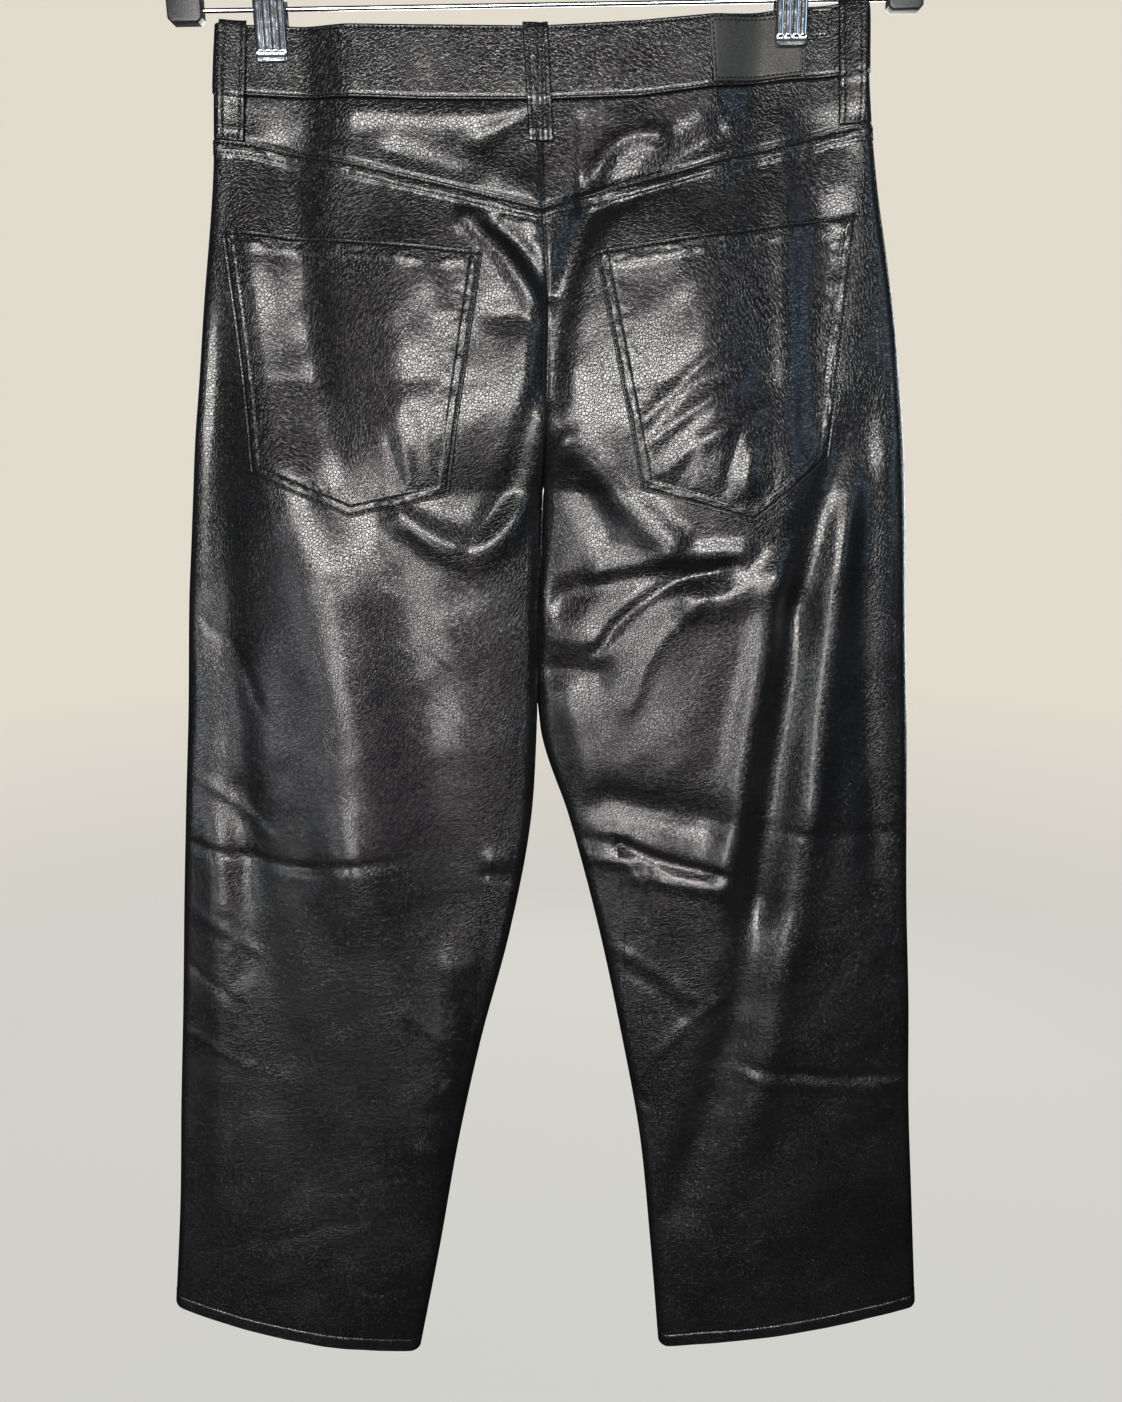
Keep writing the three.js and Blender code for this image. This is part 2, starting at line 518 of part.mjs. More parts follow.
// Steel hook: a short stem, then an arc round the rail with its inner face at the origin
function hook() {
  const { innerRadius, wire, opening, steps } = HOOK;
  const radius = innerRadius + wire;
  const points = [SEAM_GAP, NECK.stem].map((rise) => new THREE.Vector3(0, 0, NECK.top + rise));
  for (let k = 0; k <= steps; k += 1) {
    const turn = -PI / 2 + ((90 + opening) / 180) * PI * (k / steps);
    points.push(new THREE.Vector3(radius * cos(turn), 0, radius * sin(turn) - innerRadius));
  }
  const path = new THREE.CatmullRomCurve3(points, false, 'centripetal');
  const geometry = new THREE.ExtrudeGeometry(new THREE.Shape(regularPolygon(wire, 8)), {
    steps: steps + 4,
    extrudePath: path,
    bevelEnabled: false,
  });
  return meshOf('hanger_hook', geometry, MATERIALS.chrome);
}

// Moulded body: a neck, two sloping shoulders and an end block under each for the bar
function hangerBody() {
  const { reach, drop, height, halfDepth } = SHOULDER;
  const { halfWidth, foot, corner } = END_BLOCK;
  const [blockInner, blockOuter] = [reach - halfWidth, reach + halfWidth];
  const half = [
    [NECK.halfWidth, NECK.top], [NECK.halfWidth, NECK.foot + height], [blockInner, -drop],
    [blockOuter, -drop - height / 2], [blockOuter, corner - foot], [blockOuter - corner, -foot],
    [blockInner + corner, -foot], [blockInner, corner - foot], [blockInner, -drop - height],
    [NECK.halfWidth, NECK.foot - height / 3], [0, NECK.foot - height / 2],
  ];
  const mirrored = half.slice(0, -1).reverse().map(([x, z]) => [-x, z]);
  return plate('hanger_body', [...half, ...mirrored], -halfDepth, halfDepth, MATERIALS.plastic);
}

function lengthwise(name, outline, hole, halfLength, material) {
  const shape = new THREE.Shape(outline);
  if (hole) shape.holes.push(new THREE.Path(hole));
  const geometry = new THREE.ExtrudeGeometry(shape, { depth: 2 * halfLength, bevelEnabled: false });
  geometry.translate(0, 0, -halfLength);
  geometry.rotateY(PI / 2);
  return meshOf(name, geometry, material);
}

// One jaw: a pressed plate with four upright ribs, standing on the given face of the cloth
function jaw(name, clip, face, onBar) {
  const { halfWidth, thick, ribWidth, ribGroove, ribProud, above } = JAW;
  const outward = face === 'back' ? -1 : 1;
  const seat = outward * (face === 'back' ? clip.nearFace : clip.farFace);
  const outline = [[-halfWidth, seat]];
  const pitch = ribWidth + ribGroove;
  const firstRib = -(3 * pitch + ribWidth) / 2;
  outline.push([-halfWidth, seat + outward * thick]);
  for (let k = 0; k < 4; k += 1) {
    const left = firstRib + k * pitch;
    outline.push([left, seat + outward * thick], [left + 0.4, seat + outward * (thick + ribProud)]);
    outline.push([left + ribWidth - 0.4, seat + outward * (thick + ribProud)]);
    outline.push([left + ribWidth, seat + outward * thick]);
  }
  outline.push([halfWidth, seat + outward * thick], [halfWidth, seat]);
  const shape = new THREE.Shape(outline.map(([x, y]) => new THREE.Vector2(x, y)));
  const below = WAIST_DROP + clip.foot - onBar;
  const geometry = new THREE.ExtrudeGeometry(shape, { depth: below + above, bevelEnabled: false });
  geometry.translate(0, 0, -below);
  return meshOf(name, geometry, MATERIALS.chrome);
}

// Short tube round the bar, between the two jaws of a clip
function sleeve(clip) {
  const outer = min(clip.nearFace, clip.farFace) - SEAM_GAP;
  const rings = [outer, SLEEVE.inner].map((radius) => regularPolygon(radius, SLEEVE.sides));
  return lengthwise(`clip_${clip.name}_sleeve`, ...rings, SLEEVE.halfWidth, MATERIALS.chrome);
}

function hanger() {
  const tilted = new THREE.Group();
  const bar = lengthwise('hanger_bar', regularPolygon(BAR.radius, 8), null, BAR.halfLength, MATERIALS.chrome);
  bar.position.z = -BAR.drop;
  tilted.add(hook(), hangerBody(), bar);
  tilted.rotation.y = -HANGER_TILT;
  const whole = new THREE.Group();
  whole.add(tilted);
  CLIPS.forEach((clip) => {
    const clipGroup = new THREE.Group();
    const onBar = BAR.drop - HANGER_TILT * (clip.x - HANGER_TILT * BAR.drop);
    clipGroup.position.set(clip.x, 0, -onBar);
    clipGroup.rotation.y = -HANGER_TILT;
    clipGroup.add(sleeve(clip), jaw(`clip_${clip.name}_jaw_back`, clip, 'back', onBar));
    clipGroup.add(jaw(`clip_${clip.name}_jaw_front`, clip, 'front', onBar));
    whole.add(clipGroup);
  });
  return whole;
}

const group = new THREE.Group();
[-1, 1].forEach((side) => {
  const word = side < 0 ? 'left' : 'right';
  group.add(panel(`back_${word}`, side, 'back', 'yoke'));
  group.add(panel(`front_${word}`, side, 'front', 'band'));
  group.add(yoke(`yoke_${word}`, side));
  group.add(waistband(`waistband_front_${word}`, 'front', [side]));
  group.add(pocket(`pocket_${word}`, POCKET_CORNERS[word]));
});
group.add(waistband('waistband_back', 'back', [-1, 1]));
BELT_LOOPS.forEach((loop) => group.add(beltLoop(loop)));
group.add(onBand('waist_patch', WAIST_PATCH, PATCH_GRID, PATCH_THICK, MATERIALS.patch));
group.add(onBand('waist_tab', WAIST_TAB, TAB_GRID, TAB_THICK, MATERIALS.leather));
group.add(flyFlap(), shankButton(), hanger());

export default group;
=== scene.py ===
# Straight faux leather trousers, seen from the wearer's back, gripped at the waistband by the two clips
# of a hanger. Metres, +Z up, +X to the wearer's right; the wearer's back faces -Y. The origin is where
# the hook bears on its rail. Heights on the cloth are written as s, millimetres below the waist level.
import math

import bmesh
import bpy
import numpy as np
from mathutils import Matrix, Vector


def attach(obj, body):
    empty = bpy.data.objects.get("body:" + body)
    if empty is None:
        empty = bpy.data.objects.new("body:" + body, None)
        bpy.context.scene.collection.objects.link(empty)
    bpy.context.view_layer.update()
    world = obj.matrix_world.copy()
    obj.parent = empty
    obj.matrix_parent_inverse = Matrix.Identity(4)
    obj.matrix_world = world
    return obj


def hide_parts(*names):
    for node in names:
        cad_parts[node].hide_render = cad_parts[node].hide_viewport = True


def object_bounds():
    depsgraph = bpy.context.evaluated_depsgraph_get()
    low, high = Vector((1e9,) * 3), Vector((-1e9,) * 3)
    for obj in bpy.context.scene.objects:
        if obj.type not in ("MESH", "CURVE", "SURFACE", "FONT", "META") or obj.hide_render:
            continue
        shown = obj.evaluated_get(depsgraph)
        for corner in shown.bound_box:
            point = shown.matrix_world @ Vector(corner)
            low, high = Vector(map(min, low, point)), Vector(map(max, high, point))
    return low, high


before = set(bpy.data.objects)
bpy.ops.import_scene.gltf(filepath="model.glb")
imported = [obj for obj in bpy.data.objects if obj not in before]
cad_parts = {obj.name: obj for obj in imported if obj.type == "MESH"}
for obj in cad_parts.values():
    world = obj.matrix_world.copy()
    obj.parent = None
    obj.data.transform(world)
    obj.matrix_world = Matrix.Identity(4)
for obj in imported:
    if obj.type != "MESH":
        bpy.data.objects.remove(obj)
cad_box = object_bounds()

# The phone that took the picture: a wide lens held level with the seat pockets, close in front of the
# cloth and tipped down, so the hems look narrower than they are. The gamma stands for its tone curve.
LENS_MM = 26.0
SENSOR_MM = 36.0
PHONE_PLACE = (0.0115, -0.664, -0.386)
PHONE_DOWN = math.radians(14.3)
PHONE_NEAREST = 0.01
VIEW_GAMMA = 0.85
phone = bpy.data.objects.new("phone", bpy.data.cameras.new("phone"))
phone.data.lens = LENS_MM
phone.data.sensor_width = SENSOR_MM
phone.data.sensor_fit = "AUTO"
phone.data.clip_start = PHONE_NEAREST
phone.location = PHONE_PLACE
phone.rotation_euler = (math.pi / 2 - PHONE_DOWN, 0, 0)
bpy.context.scene.collection.objects.link(phone)
bpy.context.scene.camera = phone
bpy.context.scene.view_settings.view_transform = "Standard"
bpy.context.scene.view_settings.gamma = VIEW_GAMMA


# The room: a pale floor below the hems that glows with painted light, dimmer near the cloth as painted
# shade and running out into the pale wall colour far off, two soft lights behind the phone, a dimmer
# window on each side and two lights for the far face of the cloth. What the cloth mirrors is dark near
# the floor and at the sides.
FLOOR_BELOW = 0.42
FLOOR_REACH = 9.0
FLOOR_CELLS = 12
FLOOR_FADE = (0.2, 5.0)
WALL_COLOUR = (0.792, 0.746, 0.663)
# Glow of the floor near the cloth: painted light, dimmed and greyed as painted shade
FLOOR_GLOW_NEAR = (0.629, 0.629, 0.592)
AIM = Vector((0, 0, -0.4))
LAMPS = [
    {"name": "front", "place": (-0.1, -1.7, -0.2), "size": (1.3, 0.62), "watts": 62,
     "tint": (1, 0.975, 0.945)},
    {"name": "front_low", "place": (-0.5, -1.65, -0.88), "size": (0.7, 0.7), "watts": 20,
     "tint": (1, 0.98, 0.96)},
    {"name": "window_left", "place": (-1.3, -1.25, -0.95), "size": (0.5, 0.6), "watts": 5,
     "tint": (0.9, 0.95, 1)},
    {"name": "window_right", "place": (1.4, -1.05, 0.0), "size": (0.3, 1.0), "watts": 4.5,
     "tint": (0.52, 0.76, 1)},
    {"name": "far_front", "place": (0.15, 1.8, -0.5), "size": (1.2, 1.2), "watts": 46,
     "tint": (1, 0.98, 0.95)},
    {"name": "far_side", "place": (1.4, 1.2, -0.4), "size": (0.5, 1.1), "watts": 12,
     "tint": (0.85, 0.93, 1)},
]
# Tones of the mirrored room from straight down to straight up, and the share of them at the sides
ROOM_STOPS = [
    (0.0, (0.006, 0.006, 0.006, 1)),
    (0.3, (0.012, 0.012, 0.013, 1)),
    (0.45, (0.04, 0.04, 0.043, 1)),
    (0.6, (0.15, 0.15, 0.155, 1)),
    (1.0, (0.3, 0.3, 0.3, 1)),
]
ROOM_SIDES = 0.25


class Wire:
    """One socket of a material's nodes. Sums on it add Math nodes, and node() adds any other node."""

    def __init__(self, tree, socket=None):
        self.tree = tree
        self.socket = socket

    def node(self, kind, settings=None, sockets=None, out=0):
        made = self.tree.nodes.new(kind)
        for name, value in (settings or {}).items():
            setattr(made, name, value)
        for key, value in (sockets or {}).items():
            if isinstance(value, Wire):
                self.tree.links.new(value.socket, made.inputs[key])
            else:
                made.inputs[key].default_value = value
        return Wire(self.tree, made.outputs[out] if made.outputs else None)

    def math(self, operation, other):
        return self.node("ShaderNodeMath", {"operation": operation}, {0: self, 1: other})

    def __add__(self, other):
        return self.math("ADD", other)

    def __sub__(self, other):
        return self.math("SUBTRACT", other)

    def __mul__(self, other):
        return self.math("MULTIPLY", other)

    def blend(self, low, high):
        """Colour from low to high as this value goes from 0 to 1."""
        colours = {"Factor": self, 6: (*low, 1), 7: (*high, 1)}
        return self.node("ShaderNodeMix", {"data_type": "RGBA"}, colours, out=2)

    def remap(self, start, end, to=(0, 1), kind="LINEAR"):
        """This value's way from start to end, laid out over the range of to."""
        sockets = {0: self, 1: start, 2: end, 3: to[0], 4: to[1]}
        return self.node("ShaderNodeMapRange", {"interpolation_type": kind}, sockets)

    def noise(self, scale, detail=2, roughness=0.5, out=0):
        """Noise at these points, of about scale grains to a metre."""
        sockets = {"Vector": self, "Scale": scale, "Detail": detail, "Roughness": roughness}
        return self.node("ShaderNodeTexNoise", sockets=sockets, out=out)

    def bump(self, depth_mm):
        return self.node("ShaderNodeBump", sockets={"Height": self, "Distance": depth_mm / 1000})

    def plug(self, shader, socket):
        self.tree.links.new(self.socket, shader.inputs[socket])


def new_finish(name, values):
    """A material, a wire of the places of its points on the piece, and its shader with values set."""
    made = bpy.data.materials.new(name)
    made.use_nodes = True
    shader = made.node_tree.nodes["Principled BSDF"]
    for key, value in values.items():
        shader.inputs[key].default_value = value
    return made, Wire(made.node_tree).node("ShaderNodeTexCoord", out="Object"), shader


bpy.ops.mesh.primitive_grid_add(x_subdivisions=FLOOR_CELLS, y_subdivisions=FLOOR_CELLS,
                                size=2 * FLOOR_REACH)
floor = bpy.context.object
floor.name = "floor"
floor.location.z = cad_box[0][2] - FLOOR_BELOW
floor.visible_glossy = False
matt = {"Base Color": (0.04, 0.04, 0.04, 1), "Specular IOR Level": 0.0, "Roughness": 0.9}
floor_finish, place, shader = new_finish("floor", {"Emission Strength": 1.0, **matt})
away = place.node("ShaderNodeVectorMath", {"operation": "LENGTH"}, {0: place}, out="Value")
# The floor glows: painted light, dimmer and greyer near the cloth as painted shade, fading to the wall
# colour far off
away.remap(*FLOOR_FADE, kind="SMOOTHSTEP").blend(FLOOR_GLOW_NEAR, WALL_COLOUR).plug(shader, "Emission Color")
floor.data.materials.append(floor_finish)

room = bpy.data.worlds.new("room")
room.use_nodes = True
bpy.context.scene.world = room
room.node_tree.nodes.clear()
sky = Wire(room.node_tree)
seen = sky.node("ShaderNodeLightPath", out="Is Camera Ray")
heading = sky.node("ShaderNodeTexCoord", out="Generated")
height = sky.node("ShaderNodeSeparateXYZ", sockets={0: heading}, out="Z")
depth = sky.node("ShaderNodeSeparateXYZ", sockets={0: heading}, out="Y")
ramp = sky.node("ShaderNodeValToRGB", sockets={0: height * 0.5 + 0.5})
stops = ramp.socket.node.color_ramp.elements
while len(stops) < len(ROOM_STOPS):
    stops.new(0.5)
for stop, (position, colour) in zip(stops, ROOM_STOPS):
    stop.position = position
    stop.color = colour
ahead = depth * depth * (1 - ROOM_SIDES) + ROOM_SIDES
lit = sky.node("ShaderNodeVectorMath", {"operation": "SCALE"}, {0: ramp, "Scale": ahead})
colours = {"Factor": seen, 6: lit, 7: (*WALL_COLOUR, 1)}
shown = sky.node("ShaderNodeMix", {"data_type": "RGBA"}, colours, out=2)
glow = sky.node("ShaderNodeBackground", sockets={"Color": shown, "Strength": 1.0})
sky.node("ShaderNodeOutputWorld", sockets={"Surface": glow})

for lamp in LAMPS:
    light = bpy.data.lights.new(lamp["name"], "AREA")
    light.shape = "RECTANGLE"
    light.size, light.size_y = lamp["size"]
    light.energy = lamp["watts"]
    light.color = lamp["tint"]
    holder = bpy.data.objects.new(lamp["name"], light)
    holder.location = lamp["place"]
    holder.visible_camera = False
    holder.rotation_euler = (AIM - holder.location).to_track_quat("-Z", "Y").to_euler()
    bpy.context.scene.collection.objects.link(holder)


# Leg panels: four lengths of black coated cloth with a pebbled face, sewn to each other down the side,
# inside leg and rise. They hang from the yoke and the waistband as two soft, flattened tubes.
WAIST_DROP = 150.0
WALL = 1.1
SEAM_GAP = 0.3
RISE_GAP = 0.1
FOLD_RADIUS = 7.0
RISE_TURN = 200.0
CROTCH = 265.0
HEM = 895.0
HEM_TILT = {-1: 0.233, 1: 0.197}
BELLY = 0.8
ROUND_SHARE = 0.05
WAIST_HALF_DEPTH = 11.0
GRIPS = [(-156.0, 3.0), (143.6, 2.0)]
GRIP_FLAT = 15.0
GRIP_REACH = 48.0
GRIP_BOTTOM = 26.0
GRIP_FADE = 110.0
HILL_CELLS = 96
HILL_ORIGIN = (-400, -60)
FOLD_SHARES = [0, 0.0012, 0.003, 0.0055, 0.009, 0.014, 0.022, 0.03, 0.04]
ROUNDS = 5

# Level sections of the tubes: outer fold left and right, seam or inner fold left and right, half depth
# at the back left, back right and front, in millimetres
SECTIONS = {
    "s": (-12, 0, 36, 84, 151, 198, 234, 270, 300, 336, 415, 476, 552, 631, 715, 804, 895),
    "outL": (186.8, 187.6, 191.7, 196.2, 207.3, 214.5, 220.3, 224.9, 228.7, 233.3, 241.1, 248.1, 256.4,
             264.4, 273.6, 282.6, 294.2),
    "outR": (187.6, 188.8, 192, 199.8, 214.8, 223.1, 228.7, 232.7, 235.4, 238.5, 245.8, 250.9, 257.3,
             265.4, 272.5, 282.4, 292.6),
    "inL": (0, 0, -0.5, 0, 3.5, 3, 2, -0.3, -1.5, -3.2, -5, -10, -25.5, -47, -66.3, -83, -101.5),
    "inR": (0, 0, -0.5, 0, 3.5, 3, 2, -0.4, -2.2, -5.0, -2.8, 17.3, 38, 55.3, 71, 81, 89.7),
    "nearL": (11, 11, 13, 17, 23, 27, 28, 28, 28, 27, 25, 23, 22, 21, 20, 20, 20),
    "nearR": (11, 11, 13, 17, 23, 27, 28, 27, 27, 26, 24, 23, 22, 20, 18, 17, 16),
    "far": (11, 11, 13, 17, 24, 25, 25, 25, 24, 23, 22, 21, 20, 19, 18, 18, 18),
}
INNER_EDGES = {
    "s": (200, 262, 270, 300, 336, 415, 476, 552, 631, 715, 895),
    "leanL": (0, 0, 0, -2, -3, -4, -4, -2, 0, 0, 0),
    "leanR": (0, 0, 1, 3, 6, 9, 7, 3, 0, 0, 0),
    "wrapL": (0, 0, 0, 2, 6, 17, 24, 25, 9, 0, 0),
    "wrapR": (0, 0, 9, 30, 36, 40, 34, 22, 5, 0, 0),
}
SEAMS = {
    "x": (-190, -172, -119, -68, 0, 56, 107, 143, 171, 190),
    "top": (2.0, 2.6, 4.6, 5.2, 5.8, 3.1, -1.1, -6.2, -7.5, -8.2),
    "band": (38.4, 39.4, 42.0, 43.8, 44.0, 42.2, 36.0, 31.0, 29.9, 27.5),
    "yoke": (63.0, 64.0, 74.4, 85.6, 101.0, 86.3, 73.0, 65.0, 57.8, 55.7),
}


def smooth(t):
    t = np.clip(t, 0, 1)
    return t * t * (3 - 2 * t)


def mix(a, b, t):
    return a + (b - a) * t


def through(table, column, at):
    """A smooth curve through one column of a table, at values of its column s."""
    xs, ys = np.array(table["s"], float), np.array(table[column], float)
    at = np.asarray(at, float)
    i = np.clip(np.searchsorted(xs, at) - 1, 0, len(xs) - 2)
    span = xs[i + 1] - xs[i]
    t = (at - xs[i]) / span
    before, after = np.maximum(i - 1, 0), np.minimum(i + 2, len(xs) - 1)
    slope_a = (ys[i + 1] - ys[before]) / (xs[i + 1] - xs[before]) * span
    slope_b = (ys[after] - ys[i]) / (xs[after] - xs[i]) * span
    rest = 1 - t
    curve = (1 + 2 * t) * rest**2 * ys[i] + t * rest**2 * slope_a
    curve = curve + t * t * (3 - 2 * t) * ys[i + 1] - t * t * rest * slope_b
    return np.where((t < 0) | (t > 1), mix(ys[i], ys[i + 1], t), curve)


def seam_level(column, x):
    return np.interp(x, SEAMS["x"], SEAMS[column])


def section(side, s):
    """Sizes of one side's level section at s."""
    letter = "L" if side < 0 else "R"
    cut = {name: through(SECTIONS, name + letter, s) for name in ("out", "in", "near")}
    inner = side * cut["in"] + RISE_GAP / 2
    turning = np.maximum(s, RISE_TURN)
    edge = {name: through(INNER_EDGES, name + letter, turning) for name in ("lean", "wrap")}
    return {
        "out": cut["out"], "inner": inner, "width": cut["out"] - inner, "near": cut["near"],
        "far": through(SECTIONS, "far", s), "lean": edge["lean"],
        "wrap": np.where(s > CROTCH, np.maximum(edge["wrap"], 0), 0),
        "tilt": HEM_TILT[side] * np.clip((s - CROTCH) / (HEM - CROTCH), 0, 1),
        "parted": np.clip((s - RISE_TURN) / (CROTCH - RISE_TURN), 0, 1),
    }


# Folds and creases: from (x0, s0) to (x1, s1), bent sideways by bow, standing out by
# rise or sunk where it is below 0, over width to each side, fading over fade past the ends
BACK_FOLDS = [
    # left seat and pocket
    (-150, 85, -129, 265, -2, 17, -6, 30), (-172, 100, -170, 250, 0, 14, 2, 30),
    (-80, 135, -80, 235, 0, 24, 4.5, 25), (-86, 282, -6, 268, -26, 13, 5, 12),
    # left leg, from the seat to the hem
    (-98, 290, -60, 541, 0, 22, -4, 60), (-153, 280, -124, 504, 8, 32, 7.5, 50),
    (-129, 530, -93, 741, 0, 26, 6, 60), (-205, 200, -206, 500, 0, 16, -4, 50),
    (-200, 540, -178, 760, 0, 22, -4, 60), (-224, 520, -244, 790, 0, 13, 3, 40),
    (-62, 590, -80, 715, 0, 16, 3, 25),
    # right seat and pocket
    (28, 104, 5, 208, -6, 10, -7, 12), (100, 62, 36, 98, 3, 11, -4, 12),
    (92, 125, 108, 255, 0, 30, 5, 25), (166, 110, 170, 225, 0, 15, -3, 25),
    # right leg
    (184, 250, 164, 333, 0, 13, -7, 25), (163, 350, 149, 541, 0, 14, -9, 25),
    (147, 560, 108, 770, 4, 16, -6, 40), (188, 290, 180, 468, 0, 12, 5, 30),
    (178, 490, 156, 699, 0, 15, 4, 50), (203, 240, 227, 504, -4, 10, -3, 30),
    (149, 330, 124, 520, 0, 12, 6, 20), (95, 334, 146, 318, -4, 13, 4, 12),
    (16, 238, 80, 298, 0, 12, 5, 10), (14, 334, 108, 318, 9, 11, -4, 12),
    (44, 474, 116, 486, 0, 14, -4, 14),
]
FRONT_FOLDS = [
    (-130, 90, -112, 250, 3, 18, -5, 30), (126, 84, 106, 262, -3, 18, -5, 30),
    (-12, 214, -76, 188, 4, 13, 4, 14), (14, 216, 82, 194, -4, 13, 4, 14),
    (-20, 262, -92, 252, 6, 14, 4, 16), (22, 258, 96, 240, -5, 14, 4, 16),
    (-140, 290, -120, 520, 6, 24, 6, 60), (-126, 560, -152, 770, 0, 26, 5, 60),
    (134, 300, 146, 540, -5, 22, 6, 60), (140, 580, 170, 790, 0, 24, 5, 60),
    (-186, 320, -200, 600, 0, 18, -5, 60), (192, 330, 204, 620, 0, 18, -5, 60),
]
# Smaller creases of the back: the same columns
BACK_CREASES = [
    # puckers and dents beside the centre seam
    (-44, 107, -4, 156, 4, 7, 3.2, 6), (-28, 112, 4, 150, 3, 6, -3.4, 6),
    (-27, 162, -8, 162, 0, 8, -1.8, 8), (-9, 165, -12, 215, 0, 10, 1.6, 10),
    (-7, 213, -44, 296, 6, 6, -1.8, 10), (-24, 110, -6, 110, 0, 5, 1.2, 5),
    # yoke
    (-104, 46, -20, 47, 0, 8, 2.2, 12), (-10, 52, -36, 66, 0, 5, -1.6, 6),
    (-28, 82, -10, 90, 0, 8, 1.4, 8), (-86, 72, -50, 84, 0, 7, -1.2, 8),
    (23, 56, 23, 98, 0, 2.4, -1, 5), (68, 62, 32, 84, -9, 6, 2.4, 5),
    (44, 52, 58, 50, 0, 6, 1.2, 6), (95, 40, 103, 56, 0, 4, -1, 5),
    # pocket dents, left
    (-78, 222, -74, 262, 0, 5, -1, 6), (-92, 235, -86, 268, 0, 4, -0.9, 5),
    (-66, 140, -60, 160, 0, 6, 0.8, 6),
    # pocket ridges, right
    (63, 222, 107, 182, 2, 4, 1.2, 8), (69, 234, 120, 199, 2, 4, 1.3, 8),
    (76, 252, 133, 217, 3, 5, 1.4, 8), (84, 262, 92, 240, 0, 4, -1, 5),
    (112, 262, 118, 232, 0, 4, -1.1, 6), (124, 266, 128, 244, 0, 4, 1, 5),
    (142, 60, 152, 268, 0, 8, 1.2, 20),
    # crotch and right thigh
    (13, 234, 8, 252, 0, 5, 2, 4), (22, 252, 40, 290, 0, 9, -2.2, 8),
    (36, 317, 124, 303, 2, 7, 3, 8), (37, 366, 112, 314, 10, 4, -2.2, 8),
    (6, 358, 34, 362, 0, 9, 2.6, 8), (6, 384, 36, 384, 0, 8, -2.6, 8),
    (16, 404, 30, 462, 0, 11, 2.4, 12), (60, 400, 96, 340, 6, 5, 1, 14),
    # right knee
    (22, 503, 54, 506, -2, 4, -2, 6), (54, 506, 122, 523, -3, 4, -3, 6),
    (26, 514, 60, 518, 0, 5, 2, 8), (66, 528, 120, 534, 0, 6, 2, 8),
    (52, 511, 73, 532, 3, 3, -1.2, 5), (76, 526, 71, 556, 0, 3, -1.2, 6),
    (173, 493, 230, 496, 0, 4, -0.9, 12),
    # right shin
    (53, 587, 103, 618, 3, 5, 1, 10), (62, 604, 100, 636, 3, 4, -0.8, 8),
    (83, 666, 124, 622, 3, 5, 1, 10), (62, 697, 74, 712, 0, 4, -1.6, 4),
    (148, 674, 184, 681, 0, 4, -1, 8), (184, 681, 255, 686, -2, 4, -1.2, 10),
    (150, 682, 252, 695, -2, 5, 0.8, 14),
    # left knee and thigh
    (-242, 505, -162, 517, -3, 3.6, -1.3, 10), (-162, 517, -104, 511, 2, 3.6, -1.2, 8),
    (-131, 515, -135, 541, 0, 3, -0.8, 5), (-40, 526, -22, 531, 2, 3.4, -1.8, 4),
    (-36, 514, -28, 514, 0, 7, 2.2, 6), (-105, 351, -55, 388, 2, 3, -0.6, 8),
    (-74, 402, -38, 436, 2, 3, -0.7, 8), (-57, 315, -20, 345, 2, 3, -0.5, 8),
    (-96, 330, -64, 352, 2, 3, 0.5, 8), (-220, 351, -189, 400, 6, 4, -0.8, 10),
    (-229, 460, -192, 492, 2, 4, 0.7, 10), (-241, 558, -209, 581, 2, 4, 0.7, 10),
    (-257, 652, -218, 674, 2, 4, 0.7, 10), (-250, 600, -222, 622, 2, 4, -0.6, 10),
    # left shin
    (-52, 594, -66, 596, 0, 10, 2, 8), (-60, 622, -50, 640, 0, 8, -2, 8),
    (-98, 628, -62, 664, 0, 6, 1.4, 8), (-70, 694, -62, 702, 0, 7, 2, 6),
    (-82, 712, -76, 716, 0, 6, -1.6, 6), (-90, 744, -80, 750, 0, 9, 1.8, 8),
    (-150, 862, -118, 874, -6, 3, -0.6, 8), (-190, 820, -120, 806, 2, 4, -0.4, 20),
    (-150, 780, -100, 768, 2, 4, -0.4, 16),
]
FRONT_CREASES = [
    (-30, 150, -70, 128, 2, 5, -1.2, 8), (30, 152, 74, 126, -2, 5, -1.2, 8),
    (-118, 512, -196, 506, 3, 4, -1.4, 10), (112, 508, 204, 516, -3, 4, -1.4, 10),
    (-64, 540, -110, 566, 2, 4, 1, 8), (70, 560, 118, 540, -2, 4, 1, 8),
    (-90, 690, -140, 712, 2, 5, -1, 10), (110, 700, 166, 684, -2, 5, -1, 10),
]
FOLD_EDGE = 16.0
FOLD_TOP = (34.0, 74.0)
CREASE_EDGE = 5.0
CREASE_TOP = (42.0, 56.0)


def fold_rise(folds, x, s):
    total = np.zeros_like(x)
    for x0, s0, x1, s1, bow, width, rise, fade in folds:
        length = math.hypot(x1 - x0, s1 - s0)
        ux, us = (x1 - x0) / length, (s1 - s0) / length
        along = (x - x0) * ux + (s - s0) * us
        t = np.clip(along / length, 0, 1)
        past = np.maximum(np.maximum(-along, along - length), 0)
        across = (x - x0) * us - (s - s0) * ux - 4 * bow * t * (1 - t)
        total += rise * np.exp(-((across / width) ** 2) - (past / fade) ** 2)
    return total


def unevenness(x, s, step, seed):
    """Soft random hills about 1 high, with step between them."""
    rng = np.random.default_rng(seed)
    grid = rng.uniform(-1, 1, (HILL_CELLS, HILL_CELLS))
    u, v = (x - HILL_ORIGIN[0]) / step + 3, (s - HILL_ORIGIN[1]) / step + 3
    i, j = np.floor(u).astype(int), np.floor(v).astype(int)
    fu, fv = smooth(u - i), smooth(v - j)
    at = lambda a, b: grid[(i + a) % HILL_CELLS, (j + b) % HILL_CELLS]
    return mix(mix(at(0, 0), at(1, 0), fu), mix(at(0, 1), at(1, 1), fu), fv)


